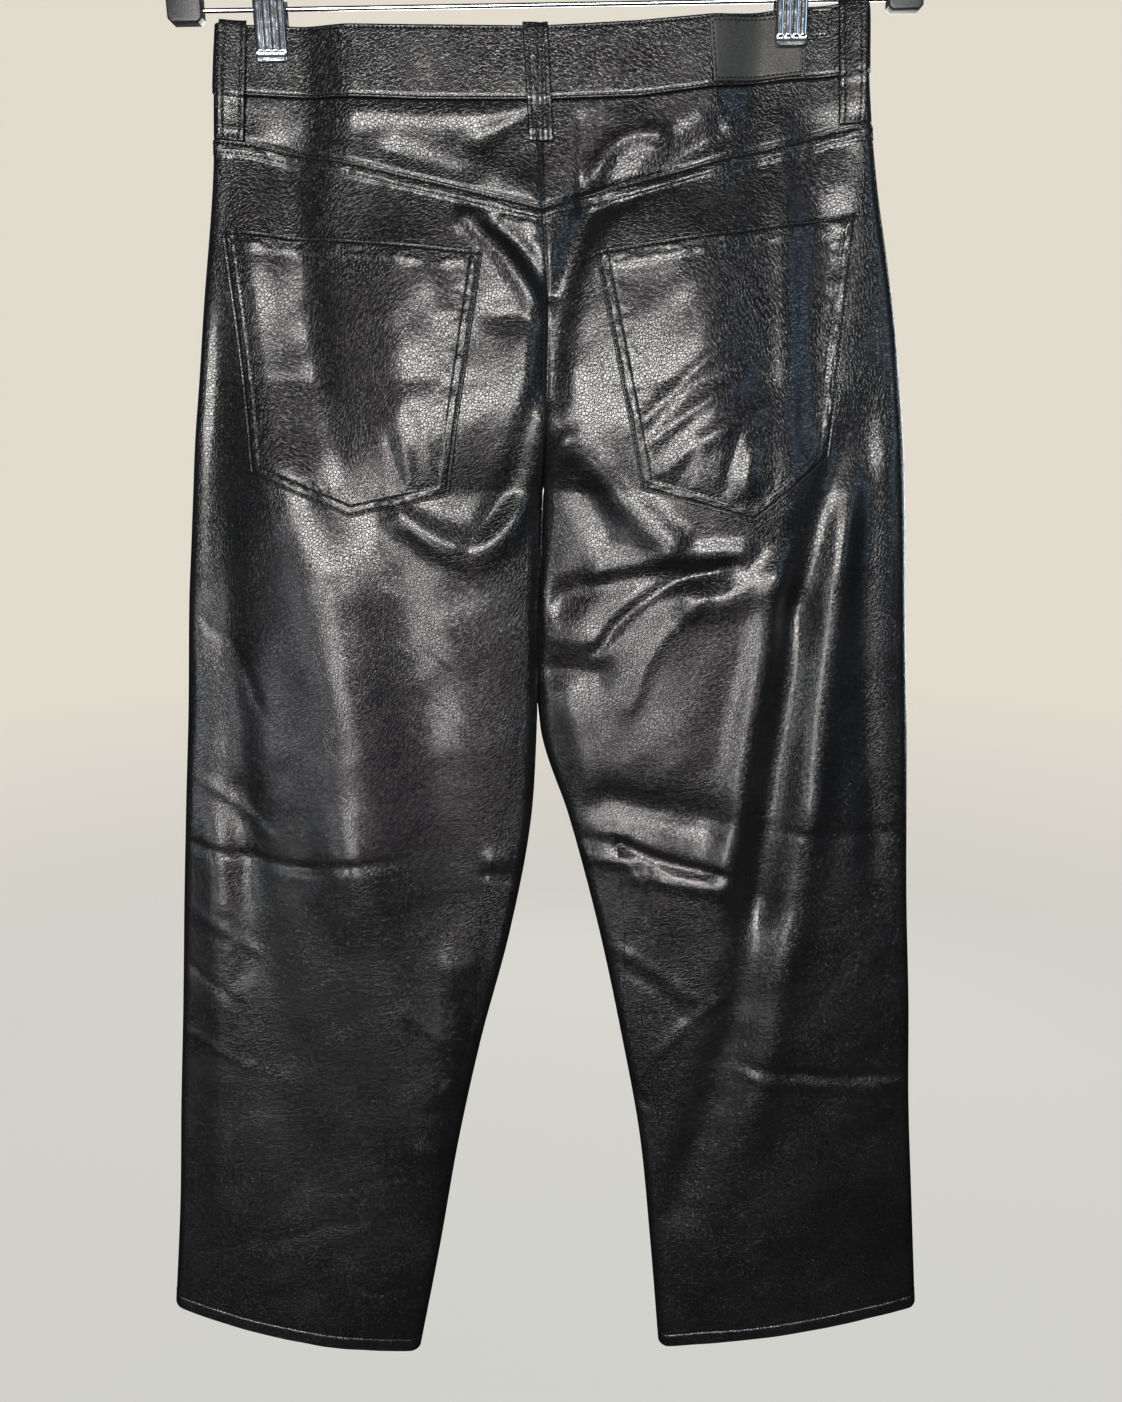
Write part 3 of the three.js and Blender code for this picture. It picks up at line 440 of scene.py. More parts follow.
def bell(d, at, width):
    return np.exp(-(((d - at) / width) ** 2))


def turned(d, radius):
    """Share of full height at d from an edge that is rounded over radius."""
    return np.sqrt(1 - (1 - np.clip(d / radius, 0, 1)) ** 2)


# Sewn edges of the leg panels, in millimetres: rows of stitches from the edge, the height of the yoke
# seam's lap and of the hem's turn, and the depth of the seams
YOKE_ROWS = (1.9, 7.2)
HEM_ROW = 10.6
RISE_ROW = 2.1
YOKE_LAP = 1.3
HEM_TURN = 0.4
SEAM_DEPTH = 0.9


def sewn_relief(back, side, x, s, station, to_inner, parted):
    """Height of the seams, welts and hems over the plain cloth, with the puckers that sewing leaves."""
    pucker = unevenness(x * 1.1, s * 0.35, 2.6, 11) + 0.6 * unevenness(x, s, 5.2, 12)
    below_yoke = s - seam_level("yoke", x)
    below_band = s - seam_level("band", x)
    to_hem = HEM - station
    lap = YOKE_LAP * turned(below_yoke, 1.1) * (1 - smooth((below_yoke - YOKE_ROWS[1]) / 2.2))
    lap = lap - 0.6 * bell(below_yoke, YOKE_ROWS[0], 0.6) - 0.7 * bell(below_yoke, YOKE_ROWS[1], 0.8)
    lap = lap + pucker * (0.45 * bell(below_yoke, 4.6, 2.2) + 0.4 * bell(below_yoke, 11, 3.4))
    rise = np.where(back & (below_yoke > 0), lap, 0)
    rise = rise - np.where(back & (below_yoke <= 0), SEAM_DEPTH * bell(below_yoke, 0, 1.6), 0)
    rise = rise - np.where(below_band > 0, SEAM_DEPTH * (1 - turned(below_band, 1.6)), 0)
    hem = HEM_TURN * smooth((10.9 - to_hem) / 0.8) - 0.45 * bell(to_hem, HEM_ROW, 0.6)
    hem = hem + pucker * (0.2 * bell(to_hem, 7, 3) + 0.3 * bell(to_hem, 14, 4))
    hem = hem - HEM_TURN * (1 - turned(to_hem, 0.8))
    rise = rise + np.where(to_hem < 30, hem, 0)
    seam = -1.2 * bell(to_inner, 0, 1.2)
    left_seam = seam - 0.5 * bell(to_inner, RISE_ROW, 0.6) + 0.3 * pucker * bell(to_inner, 3.6, 2)
    return rise + np.where(back & (side < 0), left_seam, seam) * (1 - parted)


def cloth(side, w, station, inset=0.0):
    """Points of the cloth in millimetres. w runs from 0 at the outer fold over the back to 1 at the
    inner end, and on over the front to 2; inset is the depth below the face."""
    w, station, inset = np.broadcast_arrays(*(np.asarray(a, float) for a in (w, station, inset)))
    back = w <= 1
    v = np.where(back, w, 2 - w)
    cut = section(side, station)
    outer_turn = np.clip(v / ROUND_SHARE, 0, 1) * math.pi / 2
    inner_turn = np.clip((1 - v) / ROUND_SHARE, 0, 1) * math.pi / 2
    inner_inset = inset * cut["parted"]
    face = np.clip((v - ROUND_SHARE) / (1 - 2 * ROUND_SHARE), 0, 1)
    from_outer = mix(FOLD_RADIUS, cut["width"] - FOLD_RADIUS, face)
    outer_round = inset + (FOLD_RADIUS - inset) * (1 - np.cos(outer_turn))
    inner_round = cut["width"] - inner_inset - (FOLD_RADIUS - inner_inset) * (1 - np.cos(inner_turn))
    from_outer = np.where(v < ROUND_SHARE, outer_round, from_outer)
    from_outer = np.where(v > 1 - ROUND_SHARE, inner_round, from_outer)
    x = side * (cut["out"] - from_outer)
    s = station + cut["tilt"] * from_outer
    unparted = np.sqrt(1 - cut["parted"] ** 2)
    edge_rise = np.sin(outer_turn) * (unparted + (1 - unparted) * np.sin(inner_turn))
    across = from_outer / cut["width"]
    crown = np.maximum(0, np.sin(math.pi / 2 * (1 + cut["parted"]) * np.clip(across, 0, 1))) ** BELLY
    depth = mix(FOLD_RADIUS, np.where(back, cut["near"], cut["far"]), crown)
    waist = np.full_like(x, WAIST_HALF_DEPTH)
    for centre, hold in GRIPS:
        grip = smooth((GRIP_REACH - np.abs(x - centre)) / (GRIP_REACH - GRIP_FLAT))
        waist = np.minimum(waist, mix(WAIST_HALF_DEPTH, hold, grip))
    released = smooth((station - GRIP_BOTTOM) / GRIP_FADE)
    body = mix(waist, depth, released) - inset
    fade = smooth(from_outer / FOLD_EDGE) * smooth((s - FOLD_TOP[0]) / (FOLD_TOP[1] - FOLD_TOP[0]))
    fade = fade * mix(1, smooth((cut["width"] - from_outer) / FOLD_EDGE), cut["parted"])
    creased = np.clip(from_outer / CREASE_EDGE, 0, 1)
    creased = creased * smooth((s - CREASE_TOP[0]) / (CREASE_TOP[1] - CREASE_TOP[0]))
    to_inner = cut["width"] - from_outer
    creased = creased * mix(1, np.clip(to_inner / CREASE_EDGE, 0, 1), cut["parted"])
    hills = 0.8 * unevenness(x, s, 38, 5) + 0.35 * unevenness(x + 0.4 * s, s, 17, 6)
    rises = [fold_rise(folds, x, s) * fade + (fold_rise(creases, x, s) + hills) * creased
             for folds, creases in ((BACK_FOLDS, BACK_CREASES), (FRONT_FOLDS, FRONT_CREASES))]
    outward = body * edge_rise + np.where(back, *rises)
    outward = outward + sewn_relief(back, side, x, s, station, to_inner, cut["parted"])
    y = cut["lean"] * across**2 + np.where(back, -outward, outward)
    return np.stack([x, y, -(WAIST_DROP + s)], -1)


def panel_reach(side, face, station):
    """First and last w of a panel at a station, clear of the side seam and the inseam."""
    cut = section(side, station)
    side_gap = SEAM_GAP / 2 / FOLD_RADIUS / (math.pi / 2) * ROUND_SHARE
    inseam = 1 - cut["wrap"] / cut["width"]
    gap = np.where(station < CROTCH, 1e-5, SEAM_GAP / 2 / cut["width"])
    if face == "back":
        return np.full_like(inseam, side_gap), inseam - gap
    return np.full_like(inseam, 2 - side_gap), inseam + gap


def seam_station(side, w, column):
    """Station at which a column of the cloth meets a seam."""
    station = np.full_like(w, 50.0)
    for _ in range(ROUNDS):
        station = seam_level(column, cloth(side, w, station)[..., 0])
    return station


def spread(near, middle):
    """Shares of the way across a piece: near, then middle, then near seen from the other end."""
    near = np.array(near)
    return np.concatenate([near, middle, 1 - near[::-1]])


def shares(face_columns, closer=1.0):
    """Shares of the way across a panel, close together at its edges and in its two rounded folds, and
    closer towards the inner end where that is above 1."""
    face = 1 - (1 - np.linspace(0, 1, face_columns + 1)) ** closer
    return spread(FOLD_SHARES, mix(ROUND_SHARE, 1 - ROUND_SHARE, face))


def stations(start, end, near, middle):
    """Rows from start to end, as close together at both ends as near says."""
    near = np.array(near)[:, None]
    core = np.linspace(start + near[-1], end - near[-1], middle + 2)[1:-1]
    return np.concatenate([start + near, core, end - near[::-1]])


def piece_of(name, points, faces, finish, sharp=50):
    """A mesh piece from points in millimetres, smooth but for its sharp edges."""
    mesh = bpy.data.meshes.new(name)
    mesh.from_pydata((np.asarray(points) / 1000).tolist(), [], faces)
    mesh.polygons.foreach_set("use_smooth", [True] * len(mesh.polygons))
    mesh.set_sharp_from_angle(angle=math.radians(sharp))
    mesh.materials.append(finish)
    piece = bpy.data.objects.new(name, mesh)
    bpy.context.scene.collection.objects.link(piece)
    return piece


def wall(name, outer, inner, finish, sharp=50):
    """A closed wall of cloth between two grids of points in millimetres."""
    rows, columns = outer.shape[:2]
    size = rows * columns
    a = (np.arange(rows - 1)[:, None] * columns + np.arange(columns - 1)).ravel()
    face = np.stack([a, a + 1, a + columns + 1, a + columns], 1)
    rim = np.concatenate([
        np.arange(columns - 1), np.arange(rows - 1) * columns + columns - 1,
        (rows - 1) * columns + np.arange(columns - 1, 0, -1), np.arange(rows - 1, 0, -1) * columns,
    ])
    after = np.roll(rim, -1)
    border = np.stack([rim, rim + size, after + size, after], 1)
    quads = np.concatenate([face, face[:, ::-1] + size, border])
    points = np.concatenate([outer.reshape(-1, 3), inner.reshape(-1, 3)])
    p = points[quads]
    volume = np.einsum("ij,ij->", p[:, 0], np.cross(p[:, 1], p[:, 2]))
    volume += np.einsum("ij,ij->", p[:, 0], np.cross(p[:, 2], p[:, 3]))
    if volume < 0:
        quads = quads[:, ::-1]
    return piece_of(name, points, quads.tolist(), finish, sharp)


def coated_cloth(name, black, bloom_and_crease_shade, rough, pebble_mm=1.8, depth_mm=0.085):
    """Black coated cloth: flat small pebbles with narrow creases between them, a soft sheen that is
    uneven from handling, and a base colour that is paler on top of the pebbles in uneven patches, with
    painted shade darkening the creases between them."""
    finish, place, shader = new_finish(name, {"Specular IOR Level": 0.5})
    warp = place.noise(300, 3, out="Color")
    mixed = {"Factor": 0.0025, 4: place, 5: warp}
    bent = place.node("ShaderNodeMix", {"data_type": "VECTOR"}, mixed, out=1)
    cells = {"Vector": bent, "Scale": 1000 / pebble_mm}
    edge = place.node("ShaderNodeTexVoronoi", {"feature": "DISTANCE_TO_EDGE"}, cells, "Distance")
    pebble = edge.remap(0, 0.16, kind="SMOOTHSTEP")
    patches = place.noise(22, 4)
    relief = pebble + place.noise(1500) * 0.5 + place.noise(330, 4, 0.6) * 2.0
    relief.bump(depth_mm).plug(shader, "Normal")
    (patches.remap(0.3, 0.7, rough) - pebble * 0.08).plug(shader, "Roughness")
    # Base colour paler on the pebble tops in random patches and darkest in the creases: random tone, and
    # painted shade in the creases
    (pebble * patches * 1.4).blend(black, bloom_and_crease_shade).plug(shader, "Base Color")
    return finish


faux_leather = coated_cloth("faux_leather", (0.003, 0.0031, 0.0035), (0.01, 0.01, 0.011), (0.2, 0.28))
TOP_ROWS = [0, 0.25, 0.5, 0.8, 1.2, 1.6, 2, 2.5, 3.1, 3.8, 4.6, 5.4, 6.1, 6.7, 7.2, 7.7, 8.3, 9, 10, 11.5]
HEM_ROWS = [14, 12.4, 11.5, 11, 10.6, 10.2, 9.7, 8.8, 7.4, 5.6, 3.6, 2, 1.2, 0.7, 0.3, 0]
# Columns of a panel, how they close up towards the inner end, and its rows above and below RISE_TURN
GRIDS = {"back": (92, 1.0, 60, 280), "front": (72, 1.6, 36, 150)}


def panel(name, side, w, station):
    """A length of cloth: its face, and its inside one wall below it."""
    return wall("leather_" + name, cloth(side, w, station), cloth(side, w, station, WALL), faux_leather)


def leg_panel(name, side, face, top_seam):
    """A panel from an upper seam to the hem."""
    columns, closer, above, below = GRIDS[face]
    share = shares(columns, closer)
    across = lambda station: mix(*panel_reach(side, face, station), share)
    start = seam_station(side, across(np.zeros_like(share)), top_seam) + SEAM_GAP / 2
    top = start + np.array(TOP_ROWS)[:, None]
    rise = np.linspace(top[-1], np.full_like(start, RISE_TURN), above + 1)[1:]
    leg = np.linspace(RISE_TURN, HEM - HEM_ROWS[0], below + 1)[1:-1, None] + 0 * start
    hem = HEM - np.array(HEM_ROWS)[:, None] + 0 * start
    station = np.concatenate([top, rise, leg, hem])
    return panel(name, side, across(station), station)


def declare(piece, node, slot, **sheet):
    """Give a piece its body and hide the solid it stands in for. Its slot and its sheet are not used."""
    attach(piece, "root")
    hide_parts(node)


SIDES = ((-1, "left"), (1, "right"))
LEG_PANELS = {
    "back": {"seam": "yoke", "flat": (0.25, 0.86), "areas": (0.19, 0.19)},
    "front": {"seam": "band", "flat": (0.26, 0.9), "areas": (0.21, 0.216)},
}
for face, cut in LEG_PANELS.items():
    for (side, word), area in zip(SIDES, cut["areas"]):
        piece = leg_panel(f"{face}_{word}", side, face, cut["seam"])
        declare(piece, f"{face}_{word}", "faux_leather", flat=cut["flat"], area=area, held="hung",
                rests_on=["waistband_back"])


# Back yoke: two pointed pieces between the waistband and the leg panels, whose upper edges lap over it
EDGE_ROWS = [0, 0.3, 0.6, 0.9, 1.2, 1.5, 1.8, 2.2, 2.8, 3.8, 5.2]


def strip(side, face, top_seam, low_seam, gaps, middle):
    """Columns, stations and distances from both seams of a strip of cloth between two seams."""
    w = mix(*panel_reach(side, face, np.zeros(1)), shares(GRIDS["back"][0]))
    start = seam_station(side, w, top_seam) + gaps[0]
    end = seam_station(side, w, low_seam) - gaps[1]
    station = stations(start, end, EDGE_ROWS, middle)
    return w, station, station - start, end - station


for side, word in SIDES:
    w, station, _, _ = strip(side, "back", "band", "yoke", (SEAM_GAP / 2, SEAM_GAP / 2), 14)
    declare(panel("yoke_" + word, side, w, station), "yoke_" + word, "faux_leather", flat=(0.2, 0.06),
            area=0.008, held="hung", rests_on=["waistband_back"])


# Waistband: a doubled band, one length over the back and one on each side of the fly, topstitched along
# both edges. It stands proud of the cloth below it.
BAND_PROUD = 0.8
BAND_ROW = 1.8
BAND_GROOVE = 0.35
BANDS = [
    {"name": "waistband_back", "face": "back", "sides": (-1, 1), "flat": (0.392, 0.039)},
    {"name": "waistband_front_left", "face": "front", "sides": (-1,), "flat": (0.197, 0.039)},
    {"name": "waistband_front_right", "face": "front", "sides": (1,), "flat": (0.197, 0.039)},
]
for band in BANDS:
    grids = []
    for side in band["sides"]:
        w, station, below, above = strip(side, band["face"], "top", "band", (0, SEAM_GAP / 2), 10)
        half = (BAND_PROUD + WALL) / 2
        full = np.minimum(turned(below, 1.3), turned(above, 0.9))
        centre = (WALL - BAND_PROUD) / 2
        x, s = cloth(side, w, station)[..., 0], station
        waves = 0.25 * unevenness(x, s, 24, 21) + 0.12 * unevenness(x, s * 0.4, 4, 22)
        waves = waves * np.clip(below / 3, 0, 1) * np.clip(above / 3, 0, 1)
        sewn = BAND_GROOVE * bell(below, BAND_ROW, 0.45) + BAND_GROOVE * bell(above, BAND_ROW, 0.45)
        grids.append([
            cloth(side, w, station, centre - half * full + sewn - waves),
            cloth(side, w, station, centre + half * full),
        ])
    if len(grids) == 2:
        grids = [[np.concatenate([a, b[:, ::-1]], 1) for a, b in zip(*grids)]]
    declare(wall("leather_" + band["name"], *grids[0], faux_leather), band["name"], "faux_leather",
            flat=band["flat"], held="hung", rests_on=["clip_left_jaw_back", "clip_right_jaw_back"])


# Patch pockets: five-sided, sewn to the seat with two rows down the sides and along the foot, and with a
# wider turn at the mouth
POCKETS = {
    "left": [(-191, 112), (-34.5, 126), (-58, 268), (-120, 281), (-180, 254)],
    "right": [(188, 103), (31.5, 126), (61.5, 264.5), (131.5, 283.5), (178.5, 245)],
}
POCKET_ROWS = (1.8, 7.4)
MOUTH_ROWS = (1.8, 11.0)
POCKET_LIES = 0.1
POCKET_THICK = 1.6
POCKET_TURN = 8.8
MOUTH_TURN = 12.4
POCKET_GROOVE = 0.75
ROW_END = 1.2
LAID_SHARP = 70
RIM_SHARES = [
    0, 0.002, 0.0045, 0.008, 0.011, 0.014, 0.018, 0.023, 0.029, 0.035, 0.041, 0.046, 0.051, 0.058, 0.067,
]


def over(x, s, lift=0.0, front=False):
    """Points at a height over the cloth, given as x and s in millimetres."""
    x, s, lift = np.broadcast_arrays(*(np.asarray(a, float) for a in (x, s, lift)))
    left = x < through(SECTIONS, "inL", np.minimum(s, CROTCH))
    points = np.empty(x.shape + (3,))
    for side, mine in ((-1, left), (1, ~left)):
        station = s[mine]
        for _ in range(ROUNDS):
            cut = section(side, station)
            from_outer = np.clip(cut["out"] - side * x[mine], 0, cut["width"])
            station = s[mine] - cut["tilt"] * from_outer
        face = (from_outer - FOLD_RADIUS) / (cut["width"] - 2 * FOLD_RADIUS)
        low = ROUND_SHARE * np.arccos(np.clip(1 - from_outer / FOLD_RADIUS, 0, 1)) / (math.pi / 2)
        rest = cut["width"] - from_outer
        high = 1 - ROUND_SHARE * np.arccos(np.clip(1 - rest / FOLD_RADIUS, 0, 1)) / (math.pi / 2)
        v = np.where(face < 0, low, np.where(face > 1, high, mix(ROUND_SHARE, 1 - ROUND_SHARE, face)))
        points[mine] = cloth(side, 2 - v if front else np.minimum(v, 1), station, -lift[mine])
    return points


def to_edges(x, s, corners):
    """Distances of points from each straight edge of an outline."""
    away = []
    for a, b in zip(corners, corners[1:] + corners[:1]):
        ux, us = b[0] - a[0], b[1] - a[1]
        t = np.clip(((x - a[0]) * ux + (s - a[1]) * us) / (ux * ux + us * us), 0, 1)
        away.append(np.hypot(x - a[0] - t * ux, s - a[1] - t * us))
    return away


def pocket_height(word, x, s):
    """Height of the pocket's face over the seat, and how full its edge is."""
    edges = to_edges(x, s, POCKETS[word])
    mouth, sewn = edges[0], np.min(edges[1:], 0)
    pucker = unevenness(x, s, 2.7, 31) + 0.5 * unevenness(x, s, 5.5, 32)
    full = turned(np.minimum(mouth, sewn), 1.1)
    height = POCKET_LIES + POCKET_THICK * (0.5 + 0.5 * full)
    height = height + 0.6 * smooth((POCKET_TURN - sewn) / 1.8)
    height = height + 0.5 * smooth((MOUTH_TURN - mouth) / 1.8) * smooth((sewn - 6) / 4)
    for row in POCKET_ROWS:
        height = height - POCKET_GROOVE * bell(sewn, row, 0.7)
    for row in MOUTH_ROWS:
        height = height - POCKET_GROOVE * bell(mouth, row, 0.7) * np.clip(sewn / 2, 0, 1)
    beside = 0.45 * bell(sewn, 4.6, 2) + 0.35 * bell(sewn, 11, 3) + 0.45 * bell(mouth, 6, 4)
    return np.maximum(height + pucker * beside, 0.4), full


def pocket_point(corners, u, v):
    top_outer, top_inner, low_inner, point, low_outer = (np.array(c, float) for c in corners)
    u, v = u[None, :, None], v[:, None, None]
    low = np.where(u < 0.5, mix(low_outer, point, 2 * u), mix(point, low_inner, 2 * u - 1))
    spot = mix(mix(top_outer, top_inner, u), low, v)
    return spot[..., 0], spot[..., 1]


for word, corners in POCKETS.items():
    share = spread(RIM_SHARES, np.linspace(RIM_SHARES[-1], 1 - RIM_SHARES[-1], 62)[1:-1])
    x, s = pocket_point(corners, share, share)
    height, full = pocket_height(word, x, s)
    low = POCKET_LIES + POCKET_THICK * (0.5 - 0.5 * full)
    piece = wall("leather_pocket_" + word, over(x, s, height), over(x, s, low), faux_leather, LAID_SHARP)
    declare(piece, "pocket_" + word, "faux_leather", flat=(0.158, 0.165), area=0.0222, held="hung",
            rests_on=["leather_back_" + word])


# Belt loops: folded strips sewn over the waistband from its top edge to the yoke, two at the front
LOOP_WIDTH = 14.4
LOOP_THICK = 1.6
LOOP_ROW = 4.4
LOOP_ACROSS = [0, 0.02, 0.05, 0.09, 0.14, 0.18, 0.2, 0.22, 0.26, 0.34, 0.42]
LOOP_DOWN = [0, 0.004, 0.01, 0.018]
LOOP_GROOVE = 0.3
LOOP_ENDS = (1.2, 1.4)
LOOP_TACKS = (2.2, 3.1)
TACK_HALF = 5.4
LOOPS = [
    {"name": "belt_loop_side_left", "front": False, "top": (-176, 1.2), "foot": (-182, 64)},
    {"name": "belt_loop_centre", "front": False, "top": (-3.2, 4.6), "foot": (0.2, 66)},
    {"name": "belt_loop_side_right", "front": False, "top": (176.5, -9), "foot": (181, 56)},
    {"name": "belt_loop_front_left", "front": True, "top": (-98, 3.6), "foot": (-101, 64)},
    {"name": "belt_loop_front_right", "front": True, "top": (92, -1.2), "foot": (95, 60)},
]


def loop_lies(v):
    """How far the loop lies over the cloth, from its top to its foot."""
    raised = smooth(v / 0.06) * smooth((1 - v) / 0.1)
    band = BAND_PROUD * smooth((0.68 - v) / 0.04)
    return mix(0.25, 1.3, raised) + band * (1 - 0.3 * raised)


def laid_on(name, x, s, lies, thick, full, relief, finish, front=False):
    """A small piece on the cloth, whose face and back meet in an edge that is as round as full says."""
    outer = over(x, s, lies + thick * (0.5 + 0.5 * full) + relief * full, front)
    inner = over(x, s, lies + thick * (0.5 - 0.5 * full), front)
    return wall("leather_" + name, outer, inner, finish, LAID_SHARP)


for loop in LOOPS:
    (x0, s0), (x1, s1) = loop["top"], loop["foot"]
    u, v = np.meshgrid(spread(LOOP_ACROSS, [0.5]), spread(LOOP_DOWN, np.linspace(0.03, 0.97, 56)))
    x, s = mix(x0, x1, v) + LOOP_WIDTH * (u - 0.5), mix(s0, s1, v)
    edge = np.minimum(np.minimum(u, 1 - u) * LOOP_WIDTH, np.minimum(v, 1 - v) * (s1 - s0))
    groove = LOOP_GROOVE * bell(np.abs(u - 0.5) * LOOP_WIDTH, LOOP_ROW, 0.5)
    bulge = 0.12 * unevenness(x, s, 6, 41) - groove
    piece = laid_on(loop["name"], x, s, loop_lies(v), LOOP_THICK, turned(edge, 0.8), bulge, faux_leather,
                    loop["front"])
    declare(piece, loop["name"], "faux_leather", flat=(0.0155, 0.066), held="hung",
            rests_on=["leather_waistband_back"])


# Waist patch and the band's double-sewn end beside it: two small pieces laid on the waistband. The patch
# is a flatter, greyer coated cloth, and it is bare.
PATCH_LIES = BAND_PROUD + 0.2
PATCH_ROW = 1.7
TAB_ROW = 4.2
patch_cloth = coated_cloth("patch", (0.012, 0.0115, 0.0108), (0.026, 0.025, 0.023), (0.42, 0.5), 1.2, 0.05)
ON_BAND = [
    {"name": "waist_patch", "finish": patch_cloth, "slot": "patch", "thick": 1.0, "flat": (0.056, 0.035),
     "corners": [(95.6, 2.2), (152, -4.2), (153.4, 28.3), (99.5, 34.6)]},
    {"name": "waist_tab", "finish": faux_leather, "slot": "faux_leather", "thick": 0.9,
     "flat": (0.0128, 0.016), "corners": [(154, -5.6), (166.7, -5.8), (166.7, 9.6), (154, 10.4)]},
]


def four_sided(corners, u, v):
    a, b, c, d = (np.array(corner, float) for corner in corners)
    spot = mix(mix(a, b, u[..., None]), mix(d, c, u[..., None]), v[..., None])
    return spot[..., 0], spot[..., 1]


for laid in ON_BAND:
    share = spread([0, 0.006, 0.014, 0.024, 0.036], np.linspace(0.05, 0.95, 40))
    x, s = four_sided(laid["corners"], *np.meshgrid(share, share))
    edge = np.min(to_edges(x, s, laid["corners"]), 0)
    relief = 0.1 * unevenness(x, s, 9, 51) - 0.2 * bell(edge, PATCH_ROW, 0.4)
    full = turned(edge, 0.6)
    piece = laid_on(laid["name"], x, s, PATCH_LIES, laid["thick"], full, relief, laid["finish"])
    declare(piece, laid["name"], laid["slot"], flat=laid["flat"], held="laid",
            rests_on=["leather_waistband_back"])


# Fly: the flap over the zip on the front, its outer edge curving in to the seam at the foot
FLY = {"inner": 1.5, "outer": 34, "foot": 178, "turn": 120, "point": 4, "length": 140, "thick": 1.2,
       "lies": 0.15}


def fly_point(u, v):
    top = seam_level("band", FLY["outer"] / 2) + 1
    s = mix(top, FLY["foot"], v)
    bend = np.clip((s - FLY["turn"]) / (FLY["foot"] - FLY["turn"]), 0, 1)
    reach = mix(FLY["inner"] + FLY["point"], FLY["outer"], np.sqrt(1 - bend**2))
    return mix(FLY["inner"], reach, u) + through(SECTIONS, "inL", s), s


u, v = np.meshgrid(spread([0, 0.012, 0.03], np.linspace(0.06, 0.94, 26)),
                   spread([0, 0.003, 0.007], np.linspace(0.015, 0.985, 70)))
x, s = fly_point(u, v)
edge = np.minimum(np.minimum(u, 1 - u) * FLY["outer"], np.minimum(v, 1 - v) * FLY["length"])
piece = laid_on("fly", x, s, FLY["lies"], FLY["thick"], turned(edge, 0.7), 0.1 * unevenness(x, s, 7, 61),
                faux_leather, True)
declare(piece, "fly_flap", "faux_leather", flat=(0.034, 0.136), area=0.0042, held="laid",
        rests_on=["leather_front_right"])


# Topstitching: black thread in rows of short stitches that sink between two holes. A row is given by
# where it runs on the cloth and how high its face lies there.
STITCH_PITCH = 2.6
STITCH_LENGTH = 1.8
STITCH_RADIUS = 0.42
STITCH_RISE = 0.32
STITCH_SINK = 0.5
STITCH_ALONG = np.array([-1, -0.72, 0, 0.72, 1])
STITCH_GIRTH = np.array([0.25, 0.8, 1, 0.8, 0.25])
STITCH_SIDES = 5
ROW_POINTS = 160
YOKE_SPANS = ((-196, -1.5), (2.5, 196))
BAND_SPAN = (-184, 182)
BAND_PARTS = ((-184, -2), (2, 182))
RISE_SPAN = (104, 262)
FLY_ROWS = (2.4, 8.4)
FLY_STITCHED = 0.98
thread, place, shader = new_finish("thread", {"Roughness": 0.75, "Specular IOR Level": 0.25})
twist = place.noise(3000)
twist.blend((0.002, 0.002, 0.002), (0.008, 0.008, 0.009)).plug(shader, "Base Color")
twist.bump(0.1).plug(shader, "Normal")


def ring_quads(rows, sides, first=0, closed=False):
    """Quads between rings of points numbered from first; closed joins the last ring to the first."""
    quads = []
    for j in range(rows if closed else rows - 1):
        here, there = first + j * sides, first + (j + 1) % rows * sides
        for k in range(sides):
            after = (k + 1) % sides
            quads.append((here + k, here + after, there + after, there + k))
    return quads


def tube_faces(rows, sides, first=0):
    """Quads between rings, and a cap at each end."""
    last = first + (rows - 1) * sides
    caps = [tuple(range(first + sides - 1, first - 1, -1)), tuple(range(last, last + sides))]
    return ring_quads(rows, sides, first) + caps


def stitches(rows, outward):
    """Points and faces of all stitches along rows of points, bulging outward along y."""
    turn = 2 * math.pi * np.arange(STITCH_SIDES) / STITCH_SIDES
    points, faces = [], []
    for row in rows:
        gone = np.concatenate([[0], np.cumsum(np.linalg.norm(np.diff(row, axis=0), axis=1))])
        count = max(1, int(gone[-1] / STITCH_PITCH))
        middle = (np.arange(count) + 0.5) * gone[-1] / count
        at = lambda d: np.stack([np.interp(d, gone, row[:, k]) for k in range(3)], -1)
        ends = at(middle[:, None] + STITCH_ALONG * STITCH_LENGTH / 2)
        ends[..., 1] += outward * (STITCH_RISE - STITCH_SINK * STITCH_ALONG**2)
        heading = ends[:, -1] - ends[:, 0]
        heading /= np.linalg.norm(heading, axis=1)[:, None]
        side = np.cross(heading, [0, outward, 0])
        side /= np.linalg.norm(side, axis=1)[:, None]
        up = np.cross(side, heading)
        ring = side[:, None, None] * np.cos(turn)[:, None] + up[:, None, None] * np.sin(turn)[:, None]
        rings = ends[:, :, None] + ring * (STITCH_GIRTH * STITCH_RADIUS)[:, None, None]
        for stitch in rings:
            faces += tube_faces(len(STITCH_ALONG), STITCH_SIDES, len(points))
            points.extend(stitch.reshape(-1, 3))
    return points, faces


def sewn(name, rows, front=False):
    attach(piece_of(name, *stitches(rows, 1 if front else -1), thread, 80), "root")


def line(a, b, count=80):
    t = np.linspace(0, 1, count)
    return mix(a[0], b[0], t), mix(a[1], b[1], t)


def along_seam(column, below, x0, x1):
    x = np.linspace(x0, x1, ROW_POINTS)
    return x, seam_level(column, x) + below


sewn("stitches_yoke", [over(*along_seam("yoke", row, *span)) for span in YOKE_SPANS for row in YOKE_ROWS])

